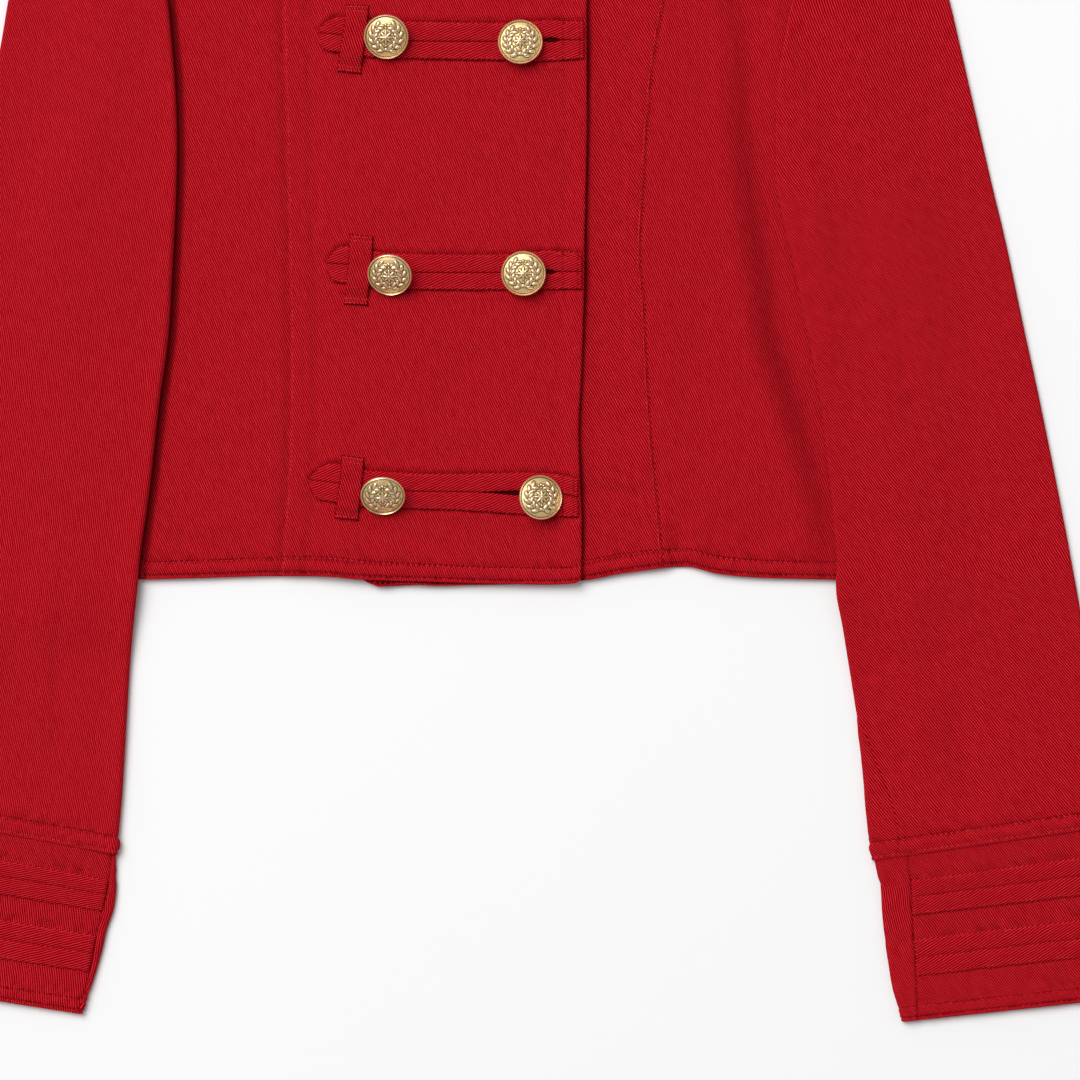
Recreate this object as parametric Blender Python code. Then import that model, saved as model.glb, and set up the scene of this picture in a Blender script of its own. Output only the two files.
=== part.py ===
# Short military-style blazer in red twill, laid flat on its back: the fronts are crossed and
# buttoned, and the sleeves lie down over the sides of the body. +Y runs up to the collar, +Z is
# off the table, and the origin is under the middle of the back. Sizes are in millimetres and
# become metres where a mesh is made. Right and left are the wearer's, so "right" is at -X.

import bisect
import math

import bmesh
import bpy
from mathutils import Matrix, Vector

MM = 0.001
WALL = 1.2              # thickness of a cloth wall
SEAM = 0.3              # space left between two pieces at a seam
FRONT_REST = 1.95       # underside of a front above the table, with the back below it
LAP_GAP = 0.45          # space between the two fronts where they cross
SLEEVE_GAP = 0.4        # space between a sleeve and the front that it lies on
TAPE_WALL = 1.0
ARMHOLE_GAP = 0.4
PANEL_ROWS = 22
SIDE_COLS = 6
OUTER_WRAP = 3.0        # the outer seam of a sleeve or cuff lies this far round its outer edge

# Neck and shoulders
NECK_HALF = 82.4
NECK_TOP = 206.0        # where the shoulder seam meets the neck
NECK_FRONT_DROP = 77.2
NECK_BACK_DROP = 7.7
SHOULDER_TIP = (195.7, 159.7)
SHOULDER_SEAM_MEETS = (127.2, 187.7)    # front seam of each side panel at the shoulder
COLLAR_HEIGHT = 35.0

# Buttons
BUTTON_RADIUS = 11.5
SHANK_RADIUS = 2.2
BUTTON_SEGMENTS = 24
BUTTON_PETALS = 6
PETAL_RISE = 0.25

# Outlines, each from the hem up or from the right (-X) to the left (+X): x, y
SIDE_RIGHT = [(-197.0, -205.5), (-195.3, -160.0), (-193.5, -113.0), (-190.5, -60.0), (-187.0, -20.0),
              (-180.0, 12.0), (-171.0, 46.0), (-164.5, 78.0), (-162.5, 100.0)]
ARMHOLE_RIGHT = [(-162.5, 100.0), (-163.0, 108.0), (-168.2, 123.0), (-175.7, 138.0), (-184.2, 148.8),
                 (-195.7, 159.7)]
SIDE_LEFT = [(199.0, -206.0), (196.5, -160.0), (194.0, -113.0), (191.5, -60.0), (188.5, -20.0),
             (182.5, 12.0), (175.0, 46.0), (169.5, 78.0), (167.5, 100.0)]
ARMHOLE_LEFT = [(167.5, 100.0), (168.0, 108.0), (171.2, 123.0), (176.2, 138.0), (184.2, 148.8),
                (195.7, 159.7)]
FRONT_SEAM_RIGHT = [(-99.9, -203.8), (-99.4, -193.0), (-95.8, -139.0), (-95.3, -77.0), (-96.8, -10.0),
                    (-97.9, 41.0), (-98.9, 62.0), (-99.9, 92.7), (-104.5, 118.5), (-115.9, 154.5),
                    (-127.2, 187.7)]
FRONT_SEAM_LEFT = [(97.3, -199.8), (96.8, -192.6), (94.6, -167.9), (91.7, -138.5), (89.1, -98.0),
                   (87.5, -62.0), (85.5, -41.0), (87.0, -10.0), (89.1, 26.0), (92.7, 62.0),
                   (98.4, 92.7), (107.6, 128.8), (117.4, 159.7), (127.2, 187.7)]
FRONT_EDGE_RIGHT = [(54.6, -207.4), (55.1, -185.0), (54.1, -154.5), (53.3, -129.0), (54.6, -103.0),
                    (56.1, -62.0), (56.6, -26.0), (57.7, 26.0), (57.7, 92.7), (59.0, 129.8)]
FRONT_EDGE_LEFT = [(-57.0, -206.3), (-58.0, -150.0), (-58.5, 0.0), (-59.0, 92.0), (-59.0, 129.8)]
HEM_RIGHT = [(-197.0, -205.5), (-172.0, -205.7), (-141.6, -205.0), (-118.5, -204.3), (-99.9, -203.8),
             (-74.7, -204.4), (-57.7, -205.9), (-19.6, -207.0), (2.6, -207.8), (39.0, -208.4),
             (54.6, -207.4)]
HEM_LEFT = [(-57.0, -206.3), (-51.5, -209.0), (-46.5, -209.5), (-37.9, -208.2), (-19.6, -209.0),
            (-2.6, -208.6), (30.0, -208.0), (56.4, -206.2), (75.3, -202.8), (97.3, -199.8),
            (104.2, -199.3), (112.1, -199.5), (126.2, -203.0), (150.4, -205.0), (199.0, -206.0)]
HEM_BACK = [(-197.0, -203.5), (-100.0, -202.0), (0.0, -203.5), (66.0, -200.5), (88.0, -190.0),
            (108.0, -186.0), (128.0, -190.0), (150.0, -201.0), (199.0, -204.0)]

# The soft valley in the left side of the body, beside the sleeve that pushes it up: y, x of the
# valley, x of the sleeve's edge, rise of the cloth between them
LEFT_VALLEY = [(130.0, 136.0, 168.0, 0.0), (92.7, 134.0, 163.3, 0.9), (70.0, 138.6, 158.5, 1.3),
               (37.6, 137.7, 154.5, 1.4), (4.1, 140.6, 154.8, 1.4), (-20.6, 143.7, 157.9, 1.4),
               (-50.0, 148.3, 164.3, 1.4), (-80.0, 151.4, 170.8, 1.3), (-110.0, 161.0, 176.4, 1.0),
               (-142.0, 171.0, 179.9, 0.6), (-172.0, 179.0, 184.4, 0.3), (-206.0, 181.5, 185.8, 0.2)]

# Sleeve caps, the outer edge opposite each armhole point from the shoulder tip down: x, y
CAP_RIGHT = [(-199.2, 159.3), (-208.0, 153.0), (-217.0, 144.0), (-225.5, 130.0), (-233.0, 113.0)]
CAP_LEFT = [(199.2, 159.3), (210.0, 152.3), (220.0, 142.0), (228.0, 129.5), (235.0, 114.5)]
# Sleeves, a row for each section from below the cap to the sleeve's hem: x, y of the inner edge,
# x, y of the outer edge, where the upper piece starts (distance over the top from the inner edge,
# or round under it if negative)
TUCKED = -7.0
SLEEVE_RIGHT = [(-163.2, 100.0, -237.0, 101.0, TUCKED), (-157.8, 92.0, -240.0, 92.7, TUCKED),
                (-155.5, 70.0, -243.7, 71.0, TUCKED), (-153.6, 46.0, -248.2, 48.0, TUCKED),
                (-152.7, 20.0, -253.4, 23.0, TUCKED), (-153.2, -8.0, -259.1, -4.0, TUCKED),
                (-154.8, -40.0, -265.5, -34.0, TUCKED), (-157.3, -82.0, -273.9, -74.0, TUCKED),
                (-161.9, -115.0, -280.3, -106.0, TUCKED), (-166.6, -157.0, -287.9, -146.0, TUCKED),
                (-171.5, -192.0, -293.9, -179.0, TUCKED), (-173.3, -212.0, -296.5, -198.0, TUCKED),
                (-175.4, -230.0, -298.5, -214.5, TUCKED), (-177.5, -252.0, -300.7, -235.0, TUCKED),
                (-179.5, -286.0, -302.8, -267.0, TUCKED), (-181.5, -318.0, -303.3, -297.0, TUCKED),
                (-184.2, -347.2, -303.9, -325.2, TUCKED)]
SLEEVE_LEFT = [(168.2, 100.0, 240.0, 103.0, TUCKED), (163.3, 92.7, 244.0, 92.7, TUCKED),
               (158.5, 70.0, 249.2, 71.0, TUCKED), (155.0, 46.0, 254.4, 48.0, TUCKED),
               (154.3, 20.0, 260.3, 22.5, TUCKED), (155.2, -8.0, 266.4, -4.0, TUCKED),
               (162.3, -40.0, 273.8, -35.0, TUCKED), (171.1, -82.0, 282.4, -76.0, TUCKED),
               (177.2, -115.0, 289.4, -108.0, TUCKED), (182.3, -157.0, 297.7, -148.5, TUCKED),
               (185.6, -192.0, 304.3, -182.0, TUCKED), (185.6, -212.0, 307.8, -201.0, TUCKED),
               (189.0, -230.0, 311.0, -218.5, TUCKED), (192.7, -252.0, 314.3, -239.5, TUCKED),
               (194.6, -264.0, 316.2, -251.0, -5.5), (195.5, -270.0, 317.0, -256.8, -3.0),
               (196.2, -275.0, 317.6, -261.6, -0.6), (196.5, -277.6, 317.9, -264.0, 0.6),
               (196.7, -280.0, 318.2, -266.4, 1.8), (197.2, -286.0, 318.8, -272.0, 5.0),
               (199.3, -304.0, 320.5, -289.0, 9.6), (200.6, -320.0, 321.9, -304.0, 14.2),
               (202.3, -336.0, 323.2, -319.0, 16.2), (205.0, -350.2, 324.4, -333.0, 13.2)]

# Cuffs, a row for each section from the sleeve's hem to the cuff's edge: x, y of the inner edge,
# x, y of the outer edge, distance of the front piece from the inner edge
CUFF_RIGHT = [(-184.6, -347.8, -303.9, -325.8, 3.2), (-184.3, -362.0, -306.0, -340.0, 5.2),
              (-185.6, -374.0, -308.3, -353.0, 6.1), (-189.8, -388.0, -310.8, -368.0, 5.4),
              (-193.2, -402.0, -313.3, -383.0, 4.8), (-197.6, -416.0, -315.8, -398.0, 3.4),
              (-202.6, -429.2, -317.8, -411.0, 3.2)]
CUFF_LEFT = [(205.6, -350.8, 324.5, -333.6, 18.1), (208.5, -364.0, 326.8, -348.0, 16.8),
             (209.3, -377.0, 328.8, -362.5, 16.5), (210.8, -391.0, 330.6, -377.0, 15.9),
             (213.0, -405.0, 332.4, -391.5, 14.7), (215.7, -419.0, 334.0, -406.0, 12.6),
             (220.2, -433.2, 335.3, -420.8, 8.5)]
# Folded tapes across the cuff front: name, where the two runs of each start, meet and end, as
# shares of the cuff's depth
CUFF_TAPES = [("upper", 0.150, 0.260, 0.376), ("lower", 0.516, 0.628, 0.740)]
TAPE_GROOVE = 0.4       # depth and half width of the line where two runs of tape meet

# Folded tapes across the fronts, stations from the front edge to the leaf-shaped end: x, y of the
# upper edge, of the line where the two runs meet and of the lower edge
TAPE_TOP_ROW = [(56.0, 80.9, 71.2, 61.8), (35.0, 81.4, 71.4, 60.6), (11.3, 80.3, 70.6, 61.0),
                (-33.5, 80.9, 70.8, 61.8), (-54.0, 82.0, 72.2, 62.8), (-67.5, 83.2, 74.0, 64.9)]
TAPE_MIDDLE_ROW = [(55.0, -38.1, -47.8, -56.6), (36.6, -36.9, -47.7, -56.6),
                   (12.9, -38.6, -48.1, -57.0), (-33.0, -38.5, -48.0, -56.7),
                   (-52.0, -36.9, -46.3, -55.6), (-64.7, -34.5, -44.0, -53.6)]
TAPE_BOTTOM_ROW = [(53.0, -154.0, -163.6, -173.6), (41.2, -151.6, -162.2, -173.2),
                   (24.7, -150.9, -161.4, -172.3), (-5.7, -151.4, -160.7, -170.2),
                   (-31.9, -151.1, -160.4, -169.4), (-57.0, -149.4, -158.8, -168.4),
                   (-70.0, -146.3, -156.2, -166.3)]
LEAF_TIPS = {"top": (-80.6, 75.0), "middle": (-76.2, -43.2), "bottom": (-85.0, -154.5)}
SLIT = 0.4              # width of the slit between the two runs
# Tabs sewn over the tapes: x, y of the four corners, clockwise from the upper one at -X
TABS = [((-65.9, 89.1), (-54.6, 88.6), (-58.2, 54.3), (-70.0, 55.5)),
        ((-63.9, -28.8), (-52.5, -29.9), (-54.9, -64.7), (-66.1, -64.1)),
        ((-68.0, -142.1), (-57.2, -143.7), (-59.7, -175.1), (-71.1, -174.1))]

# Buttons: name, x, y of the middle of the face, tilt, direction of the raised side (degrees from +X)
BUTTONS = [("top_outer", -45.3, 72.1, 17.0, 80.0), ("top_inner", 23.4, 69.9, 4.0, 270.0),
           ("middle_outer", -43.5, -50.0, 30.0, 78.0), ("middle_inner", 25.0, -48.9, 5.0, 60.0),
           ("bottom_outer", -46.9, -163.1, 35.0, 90.0), ("bottom_inner", 34.0, -163.5, 18.0, 200.0)]


def clear_scene():
    for old in list(bpy.data.objects):
        bpy.data.objects.remove(old, do_unlink=True)


def make_material(name, colour, roughness, metallic):
    material = bpy.data.materials.new(name)
    material.use_nodes = True
    shader = material.node_tree.nodes["Principled BSDF"]
    shader.inputs["Base Color"].default_value = (*colour, 1.0)
    shader.inputs["Roughness"].default_value = roughness
    shader.inputs["Metallic"].default_value = metallic
    return material


def smoothstep(value):
    value = min(max(value, 0.0), 1.0)
    return value * value * (3.0 - 2.0 * value)


# Curves in the plane -------------------------------------------------------------------------

def rounded(points, per_span=10):
    """A smooth curve through the points, as a dense list."""
    knots = [Vector(p) for p in points]
    knots = [2 * knots[0] - knots[1]] + knots + [2 * knots[-1] - knots[-2]]
    curve = []
    for before, start, end, after in zip(knots, knots[1:], knots[2:], knots[3:]):
        for step in range(per_span):
            t = step / per_span
            curve.append(0.5 * (2 * start + (end - before) * t
                                + (2 * before - 5 * start + 4 * end - after) * t * t
                                + (3 * start - before - 3 * end + after) * t ** 3))
    curve.append(knots[-2])
    return curve


def spread(curve, count):
    """count + 1 points at equal distances along a dense curve."""
    lengths = [0.0]
    for start, end in zip(curve, curve[1:]):
        lengths.append(lengths[-1] + (end - start).length)
    found = []
    for step in range(count + 1):
        target = lengths[-1] * step / count
        span = min(max(bisect.bisect_right(lengths, target) - 1, 0), len(curve) - 2)
        share = (target - lengths[span]) / max(lengths[span + 1] - lengths[span], 1e-9)
        found.append(curve[span].lerp(curve[span + 1], min(share, 1.0)))
    return found


def part_of(points, low, high):
    """The stretch of a hem between two x values, with its ends worked out."""
    curve = rounded(points)
    ends = [Vector((x, value_at([(p.x, p.y) for p in curve], x))) for x in (low, high)]
    return [ends[0]] + [p for p in curve if low < p.x < high] + [ends[1]]


def value_at(table, key, column=1):
    """Reads a table whose first column rises or falls steadily."""
    rows = table if table[0][0] < table[-1][0] else table[::-1]
    if key <= rows[0][0]:
        return rows[0][column]
    for low, high in zip(rows, rows[1:]):
        if key <= high[0]:
            share = (key - low[0]) / max(high[0] - low[0], 1e-9)
            return low[column] + (high[column] - low[column]) * share
    return rows[-1][column]


SIDE_AT = {sign: [(p.y, p.x) for p in rounded(points)]
           for sign, points in ((-1, SIDE_RIGHT), (1, SIDE_LEFT))}
ARMHOLES = {-1: ARMHOLE_RIGHT, 1: ARMHOLE_LEFT}


# Heights above the table ---------------------------------------------------------------------

def ripple(x, y):
    """Slow unevenness of cloth that was smoothed out by hand."""
    return 0.2 * math.sin(x / 31.0 + 0.6) * math.cos(y / 47.0) + 0.15 * math.sin((x + y) / 23.0)


def valley_rise(x, y):
    """The left side of the body dips along a valley and rises to the sleeve's edge."""
    valley = value_at(LEFT_VALLEY, y, 1)
    edge = value_at(LEFT_VALLEY, y, 2)
    rise = value_at(LEFT_VALLEY, y, 3)
    side = value_at(SIDE_AT[1], y)
    dip = -0.25 * math.exp(-((x - valley) / 7.0) ** 2) * smoothstep(rise)
    return dip + rise * smoothstep((x - valley) / (edge - valley)) * smoothstep((side - x) / 14.0)


def hem_drop(x, y):
    """The left front touches the table where its hem buckles up beyond the back."""
    return 1.5 * math.exp(-((x - 108.0) / 9.0) ** 2) * smoothstep((-192.0 - y) / 7.0)


def lower_front(x, y):
    """Underside of the left front, and of the right front where that lies on the back."""
    return FRONT_REST + ripple(x, y) + valley_rise(x, y) - hem_drop(x, y)


def upper_front(x, y):
    """Underside of the right front, lifted where it crosses the left one."""
    return FRONT_REST + ripple(x, y) + (WALL + LAP_GAP) * smoothstep((x + 97.0) / 29.0)


def upper_front_top(x, y):
    return upper_front(x, y) + WALL


def body_top(x, y):
    """Top of the side of the body that a sleeve lies on."""
    return (upper_front(x, y) if x < 0 else lower_front(x, y)) + WALL


# Solids --------------------------------------------------------------------------------------

def add_solid(name, vertices, faces, material, smooth_angle=40.0):
    mesh = bpy.data.meshes.new(name)
    mesh.from_pydata([Vector(v) * MM for v in vertices], [], faces)
    shape = bmesh.new()
    shape.from_mesh(mesh)
    bmesh.ops.recalc_face_normals(shape, faces=shape.faces)
    shape.to_mesh(mesh)
    shape.free()
    mesh.shade_smooth()
    mesh.set_sharp_from_angle(angle=math.radians(smooth_angle))
    mesh.materials.append(material)
    solid = bpy.data.objects.new(name, mesh)
    bpy.context.scene.collection.objects.link(solid)
    return solid


def add_wall(name, outside, inside, material):
    """A closed wall between two grids of points that have the same rows and columns."""
    rows = len(outside)
    cols = len(outside[0])
    size = rows * cols
    vertices = [p for grid in (outside, inside) for row in grid for p in row]
    faces = []
    for row in range(rows - 1):
        for col in range(cols - 1):
            corner = row * cols + col
            quad = (corner, corner + 1, corner + cols + 1, corner + cols)
            faces.append(quad)
            faces.append(tuple(size + index for index in reversed(quad)))
    rim = [col for col in range(cols)]
    rim += [row * cols + cols - 1 for row in range(1, rows)]
    rim += [(rows - 1) * cols + col for col in range(cols - 2, -1, -1)]
    rim += [row * cols for row in range(rows - 2, 0, -1)]
    for start, end in zip(rim, rim[1:] + rim[:1]):
        faces.append((start, end, size + end, size + start))
    return add_solid(name, vertices, faces, material)


def add_plate(name, points, faces, thickness, material):
    """A closed plate over faces; points give its underside."""
    size = len(points)
    vertices = points + [(x, y, z + thickness) for x, y, z in points]
    solid_faces = [tuple(face) for face in faces]
    solid_faces += [tuple(size + index for index in reversed(face)) for face in faces]
    edges = {}
    for face in faces:
        for start, end in zip(face, face[1:] + face[:1]):
            edges[(start, end)] = edges.get((end, start)) is None
            if (end, start) in edges:
                edges[(end, start)] = False
    for (start, end), is_rim in edges.items():
        if is_rim:
            solid_faces.append((start, end, size + end, size + start))
    return add_solid(name, vertices, solid_faces, material)


def patch(bottom, top, side_a, side_b):
    """Grid of flat points between four edges: rows go up the sides, columns across."""
    rows = len(side_a) - 1
    cols = len(bottom) - 1
    grid = []
    for row in range(rows + 1):
        up = row / rows
        line = []
        for col in range(cols + 1):
            across = col / cols
            straight = bottom[col].lerp(top[col], up) + side_a[row].lerp(side_b[row], across)
            corners = bottom[0].lerp(bottom[-1], across).lerp(top[0].lerp(top[-1], across), up)
            line.append(straight - corners)
        grid.append(line)
    return grid


def add_panel(name, grid, underside, material):
    below = [[(p.x, p.y, underside(p.x, p.y)) for p in row] for row in grid]
    above = [[(x, y, z + WALL) for x, y, z in row] for row in below]
    return add_wall(name, above, below, material)


# Body ----------------------------------------------------------------------------------------

def neck_front(from_degrees, to_degrees, count):
    """Front neck edge, 0 at the middle and 90 at the left shoulder."""
    return [Vector((NECK_HALF * math.sin(math.radians(angle)),
                    NECK_TOP - NECK_FRONT_DROP * math.cos(math.radians(angle))))
            for angle in (from_degrees + (to_degrees - from_degrees) * step / count
                          for step in range(count + 1))]


def neck_back_y(x):
    return NECK_TOP - NECK_BACK_DROP * math.cos(math.pi * x / (2 * NECK_HALF))


def shifted(points, by_x):
    return [p + Vector((by_x, 0.0)) for p in points]


def side_edge(sign, hem):
    """Side of the body from its hem to the shoulder tip: even rows, then the armhole's points."""
    points = SIDE_RIGHT if sign < 0 else SIDE_LEFT
    even = spread(rounded([(points[0][0], hem)] + points[1:]), PANEL_ROWS - len(ARMHOLES[sign]) + 1)
    return even + [Vector(p) for p in ARMHOLES[sign][1:]]


def front_seam(sign, points):
    """The seam points at the same shares of its height as the rows of the side edge."""
    edge = side_edge(sign, points[0][1])
    curve = [(p.y, p.x) for p in rounded(points)]
    rise = (curve[-1][0] - curve[0][0]) / (edge[-1].y - edge[0].y)
    levels = [curve[0][0] + (p.y - edge[0].y) * rise for p in edge]
    return [Vector((value_at(curve, level), level)) for level in levels]


def line(start, end, count):
    return [Vector(start).lerp(Vector(end), step / count) for step in range(count + 1)]


def build_body(twill):
    half = SEAM / 2
    tip_x, tip_y = SHOULDER_TIP
    meet_x, meet_y = SHOULDER_SEAM_MEETS

    back_cols = 18
    shoulder = line((-tip_x, tip_y), (-NECK_HALF, NECK_TOP), 5)
    neck = [Vector((x, neck_back_y(x))) for x in
            (-NECK_HALF + 2 * NECK_HALF * step / 8 for step in range(1, 8))]
    top = shoulder + neck + [Vector((-p.x, p.y)) for p in reversed(shoulder)]
    bottom = spread(rounded(HEM_BACK), back_cols)
    sides = [side_edge(-1, HEM_BACK[0][1]), side_edge(1, HEM_BACK[-1][1])]
    add_panel("back", patch(bottom, top, *sides), lambda x, y: 0.0, twill)

    seam_right = front_seam(-1, FRONT_SEAM_RIGHT)
    seam_left = front_seam(1, FRONT_SEAM_LEFT)

    bottom = spread(part_of(HEM_RIGHT, SIDE_RIGHT[0][0], FRONT_SEAM_RIGHT[0][0] - half), SIDE_COLS)
    top = line((-tip_x, tip_y), (-meet_x - half, meet_y), SIDE_COLS)
    grid = patch(bottom, top, side_edge(-1, SIDE_RIGHT[0][1]), shifted(seam_right, -half))
    add_panel("front_side_right", grid, upper_front, twill)

    bottom = spread(part_of(HEM_LEFT, FRONT_SEAM_LEFT[0][0] + half, SIDE_LEFT[0][0]), 10)
    top = line((meet_x + half, meet_y), (tip_x, tip_y), 10)
    grid = patch(bottom, top, shifted(seam_left, half), side_edge(1, SIDE_LEFT[0][1]))
    add_panel("front_side_left", grid, lower_front, twill)

    lap_x, lap_y = FRONT_EDGE_RIGHT[-1]
    top = line((-meet_x + half, meet_y), (-NECK_HALF, NECK_TOP), 3)
    top += neck_front(-90, 0, 9)[1:]
    top += line((0.0, NECK_TOP - NECK_FRONT_DROP), (lap_x, lap_y), 3)[1:]
    bottom = spread(part_of(HEM_RIGHT, FRONT_SEAM_RIGHT[0][0] + half, FRONT_EDGE_RIGHT[0][0]), 15)
    grid = patch(bottom, top, shifted(seam_right, half), front_seam(-1, FRONT_EDGE_RIGHT))
    add_panel("front_centre_right", grid, upper_front, twill)

    lap_x, lap_y = FRONT_EDGE_LEFT[-1]
    top = line((lap_x, lap_y), (0.0, NECK_TOP - NECK_FRONT_DROP), 3)
    top += neck_front(0, 90, 9)[1:]
    top += line((NECK_HALF, NECK_TOP), (meet_x - half, meet_y), 3)[1:]
    bottom = spread(part_of(HEM_LEFT, FRONT_EDGE_LEFT[0][0], FRONT_SEAM_LEFT[0][0] - half), 15)
    grid = patch(bottom, top, front_seam(1, FRONT_EDGE_LEFT), shifted(seam_left, -half))
    add_panel("front_centre_left", grid, lower_front, twill)


# Collar --------------------------------------------------------------------------------------

COLLAR_HALF = 80.3
COLLAR_FOLD = 1.5       # radius of the fold beside the shoulder, at the middle of the wall
COLLAR_FRONT_REST = 2.6


def collar_base():
    """Points along the collar's sewn edge, from the right front end round to the left one.
    Each is the point and how far the band leans up there, in degrees."""
    middle = WALL / 2
    fold_top = middle + 2 * COLLAR_FOLD
    clear_y = NECK_TOP + 0.4
    front_drop = NECK_FRONT_DROP - 0.6
    points = []
    steps = 9
    for step in range(steps):
        angle = math.radians(-1.0 - 87.0 * step / (steps - 1))
        share = step / (steps - 1)
        lap = WALL + LAP_GAP
        rest = COLLAR_FRONT_REST + lap * (1 - smoothstep(share * 1.5))
        height = rest + (fold_top - rest) * smoothstep(share)
        points.append((COLLAR_HALF * math.sin(angle), clear_y - front_drop * math.cos(angle), height,
                       7.0 + 13.0 * smoothstep(share)))
    for turn in (30, 90, 150):
        angle = math.radians(turn)
        points.append((-COLLAR_HALF - COLLAR_FOLD * math.sin(angle), clear_y,
                       middle + COLLAR_FOLD + COLLAR_FOLD * math.cos(angle), 20.0))
    steps = 12
    for step in range(steps + 1):
        x = -COLLAR_HALF + 2 * COLLAR_HALF * step / steps
        lean = 20.0 * smoothstep((abs(x) - 20.0) / (COLLAR_HALF - 20.0))
        points.append((x, neck_back_y(x) + 0.4, middle, lean))
    for turn in (150, 90, 30):
        angle = math.radians(turn)
        points.append((COLLAR_HALF + COLLAR_FOLD * math.sin(angle), clear_y,
                       middle + COLLAR_FOLD + COLLAR_FOLD * math.cos(angle), 20.0))
    steps = 9
    for step in range(steps):
        share = 1 - step / (steps - 1)
        angle = math.radians(1.0 + 87.0 * share)
        height = COLLAR_FRONT_REST + (fold_top - COLLAR_FRONT_REST) * smoothstep(share)
        points.append((COLLAR_HALF * math.sin(angle), clear_y - front_drop * math.cos(angle), height,
                       7.0 + 13.0 * smoothstep(share)))
    return points


def build_collar(twill):
    base = collar_base()
    levels = 3
    middle = []
    for level in range(levels + 1):
        reach = COLLAR_HEIGHT * level / levels
        middle.append([Vector((x, y + reach * math.cos(math.radians(lean)),
                               z + reach * math.sin(math.radians(lean))))
                       for x, y, z, lean in base])
    up = [[middle[1][i] - middle[0][i] for i in range(len(base))] for _ in range(levels + 1)]
    outside = []
    inside = []
    for row, direction in zip(middle, up):
        outside.append([])
        inside.append([])
        for index, point in enumerate(row):
            along = row[min(index + 1, len(row) - 1)] - row[max(index - 1, 0)]
            normal = along.cross(direction[index]).normalized()
            outside[-1].append(point + normal * WALL / 2)
            inside[-1].append(point - normal * WALL / 2)
    add_wall("collar", outside, inside, twill)


# Sleeves and cuffs ---------------------------------------------------------------------------

class Ring:
    """Outer outline of a flattened tube in one section: across the tube and up. It starts at the
    inner edge and goes over the top, round the outer edge and back along the underside."""

    def __init__(self, width, low, high, open_inside=False, steps=8):
        roll_out = (high(width) - low(width)) / 2
        roll_in = 0.02 if open_inside else (high(0.0) - low(0.0)) / 2
        self.points = []
        self.normals = []
        self.roll(roll_in, roll_in, low, high, 180, 90, steps)
        self.run(roll_in, width - roll_out, high, 1.0)
        self.roll(width - roll_out, roll_out, low, high, 90, -90, steps * 2)
        self.run(width - roll_out, roll_in, low, -1.0)
        self.roll(roll_in, roll_in, low, high, -90, -180, steps)
        self.lengths = [0.0]
        for start, end in zip(self.points, self.points[1:]):
            self.lengths.append(self.lengths[-1] + (end - start).length)
        self.total = self.lengths[-1]
        self.quarter = self.lengths[steps]
        self.outer_edge = self.lengths[steps + 25 + steps]

    def roll(self, centre, radius, low, high, from_degrees, to_degrees, steps):
        middle = (low(centre) + high(centre)) / 2
        rise = (high(centre) - low(centre)) / 2
        first = 0 if not self.points else 1
        for step in range(first, steps + 1):
            angle = math.radians(from_degrees + (to_degrees - from_degrees) * step / steps)
            self.points.append(Vector((centre + radius * math.cos(angle), middle + rise * math.sin(angle))))
            self.normals.append(Vector((math.cos(angle) / radius, math.sin(angle) / rise)).normalized())

    def run(self, start, end, height, facing, steps=25):
        for step in range(1, steps + 1):
            across = start + (end - start) * step / steps
            self.points.append(Vector((across, height(across))))
            self.normals.append(Vector((0.0, facing)))

    def at(self, distance):
        """Point and normal at a distance round the outline."""
        distance %= self.total
        span = min(max(bisect.bisect_right(self.lengths, distance) - 1, 0), len(self.points) - 2)
        share = (distance - self.lengths[span]) / max(self.lengths[span + 1] - self.lengths[span], 1e-9)
        point = self.points[span].lerp(self.points[span + 1], share)
        normal = self.normals[span].lerp(self.normals[span + 1], share).normalized()
        return point, normal


def place(inner, outer, point):
    """Puts a point of a section into space."""
    across = (outer - inner).normalized()
    spot = inner + across * point[0]
    return Vector((spot.x, spot.y, point[1]))


def strip(sections, columns):
    """Outer and inner grids of one piece of a tube; columns give each section's distances."""
    outside = []
    inside = []
    for (ring, inner, outer), distances in zip(sections, columns):
        found = [ring.at(distance) for distance in distances]
        outside.append([place(inner, outer, point) for point, _ in found])
        inside.append([place(inner, outer, point - normal * WALL) for point, normal in found])
    return outside, inside


INNER_ROLL = [-2.7, -1.35, 0.0, 1.35, 2.7]      # columns round the inner edge of a sleeve or cuff
OUTER_ROLL = [-3.4, -1.7, 0.0, 1.7]             # and round its outer edge
LEAST_COLUMN = 0.25
NARROW = 56.0           # a section narrower than this has its columns evenly spaced
ROLL_SEAM = 0.9         # a seam is this much wider where it crosses the rolled edge


def even_columns(start, end, spans):
    return [start + (end - start) * step / spans for step in range(spans + 1)]


def upper_columns(ring, start, turn):
    """Distances from a seam near the inner edge, over the top, to a seam under the outer edge."""
    if ring.outer_edge < NARROW:
        return even_columns(start, turn, 18)
    first = [TUCKED, TUCKED / 2 - 1.0] + INNER_ROLL + [6.5]
    span = ring.outer_edge
    across = [span * share for share in (0.14, 0.32, 0.5, 0.68, 0.86)]
    last = [span + distance for distance in [-7.0] + OUTER_ROLL]
    inside = [max(distance, start + LEAST_COLUMN * index)
              for index, distance in enumerate(first + across + last)]
    return [start] + inside[1:] + [turn]


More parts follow.
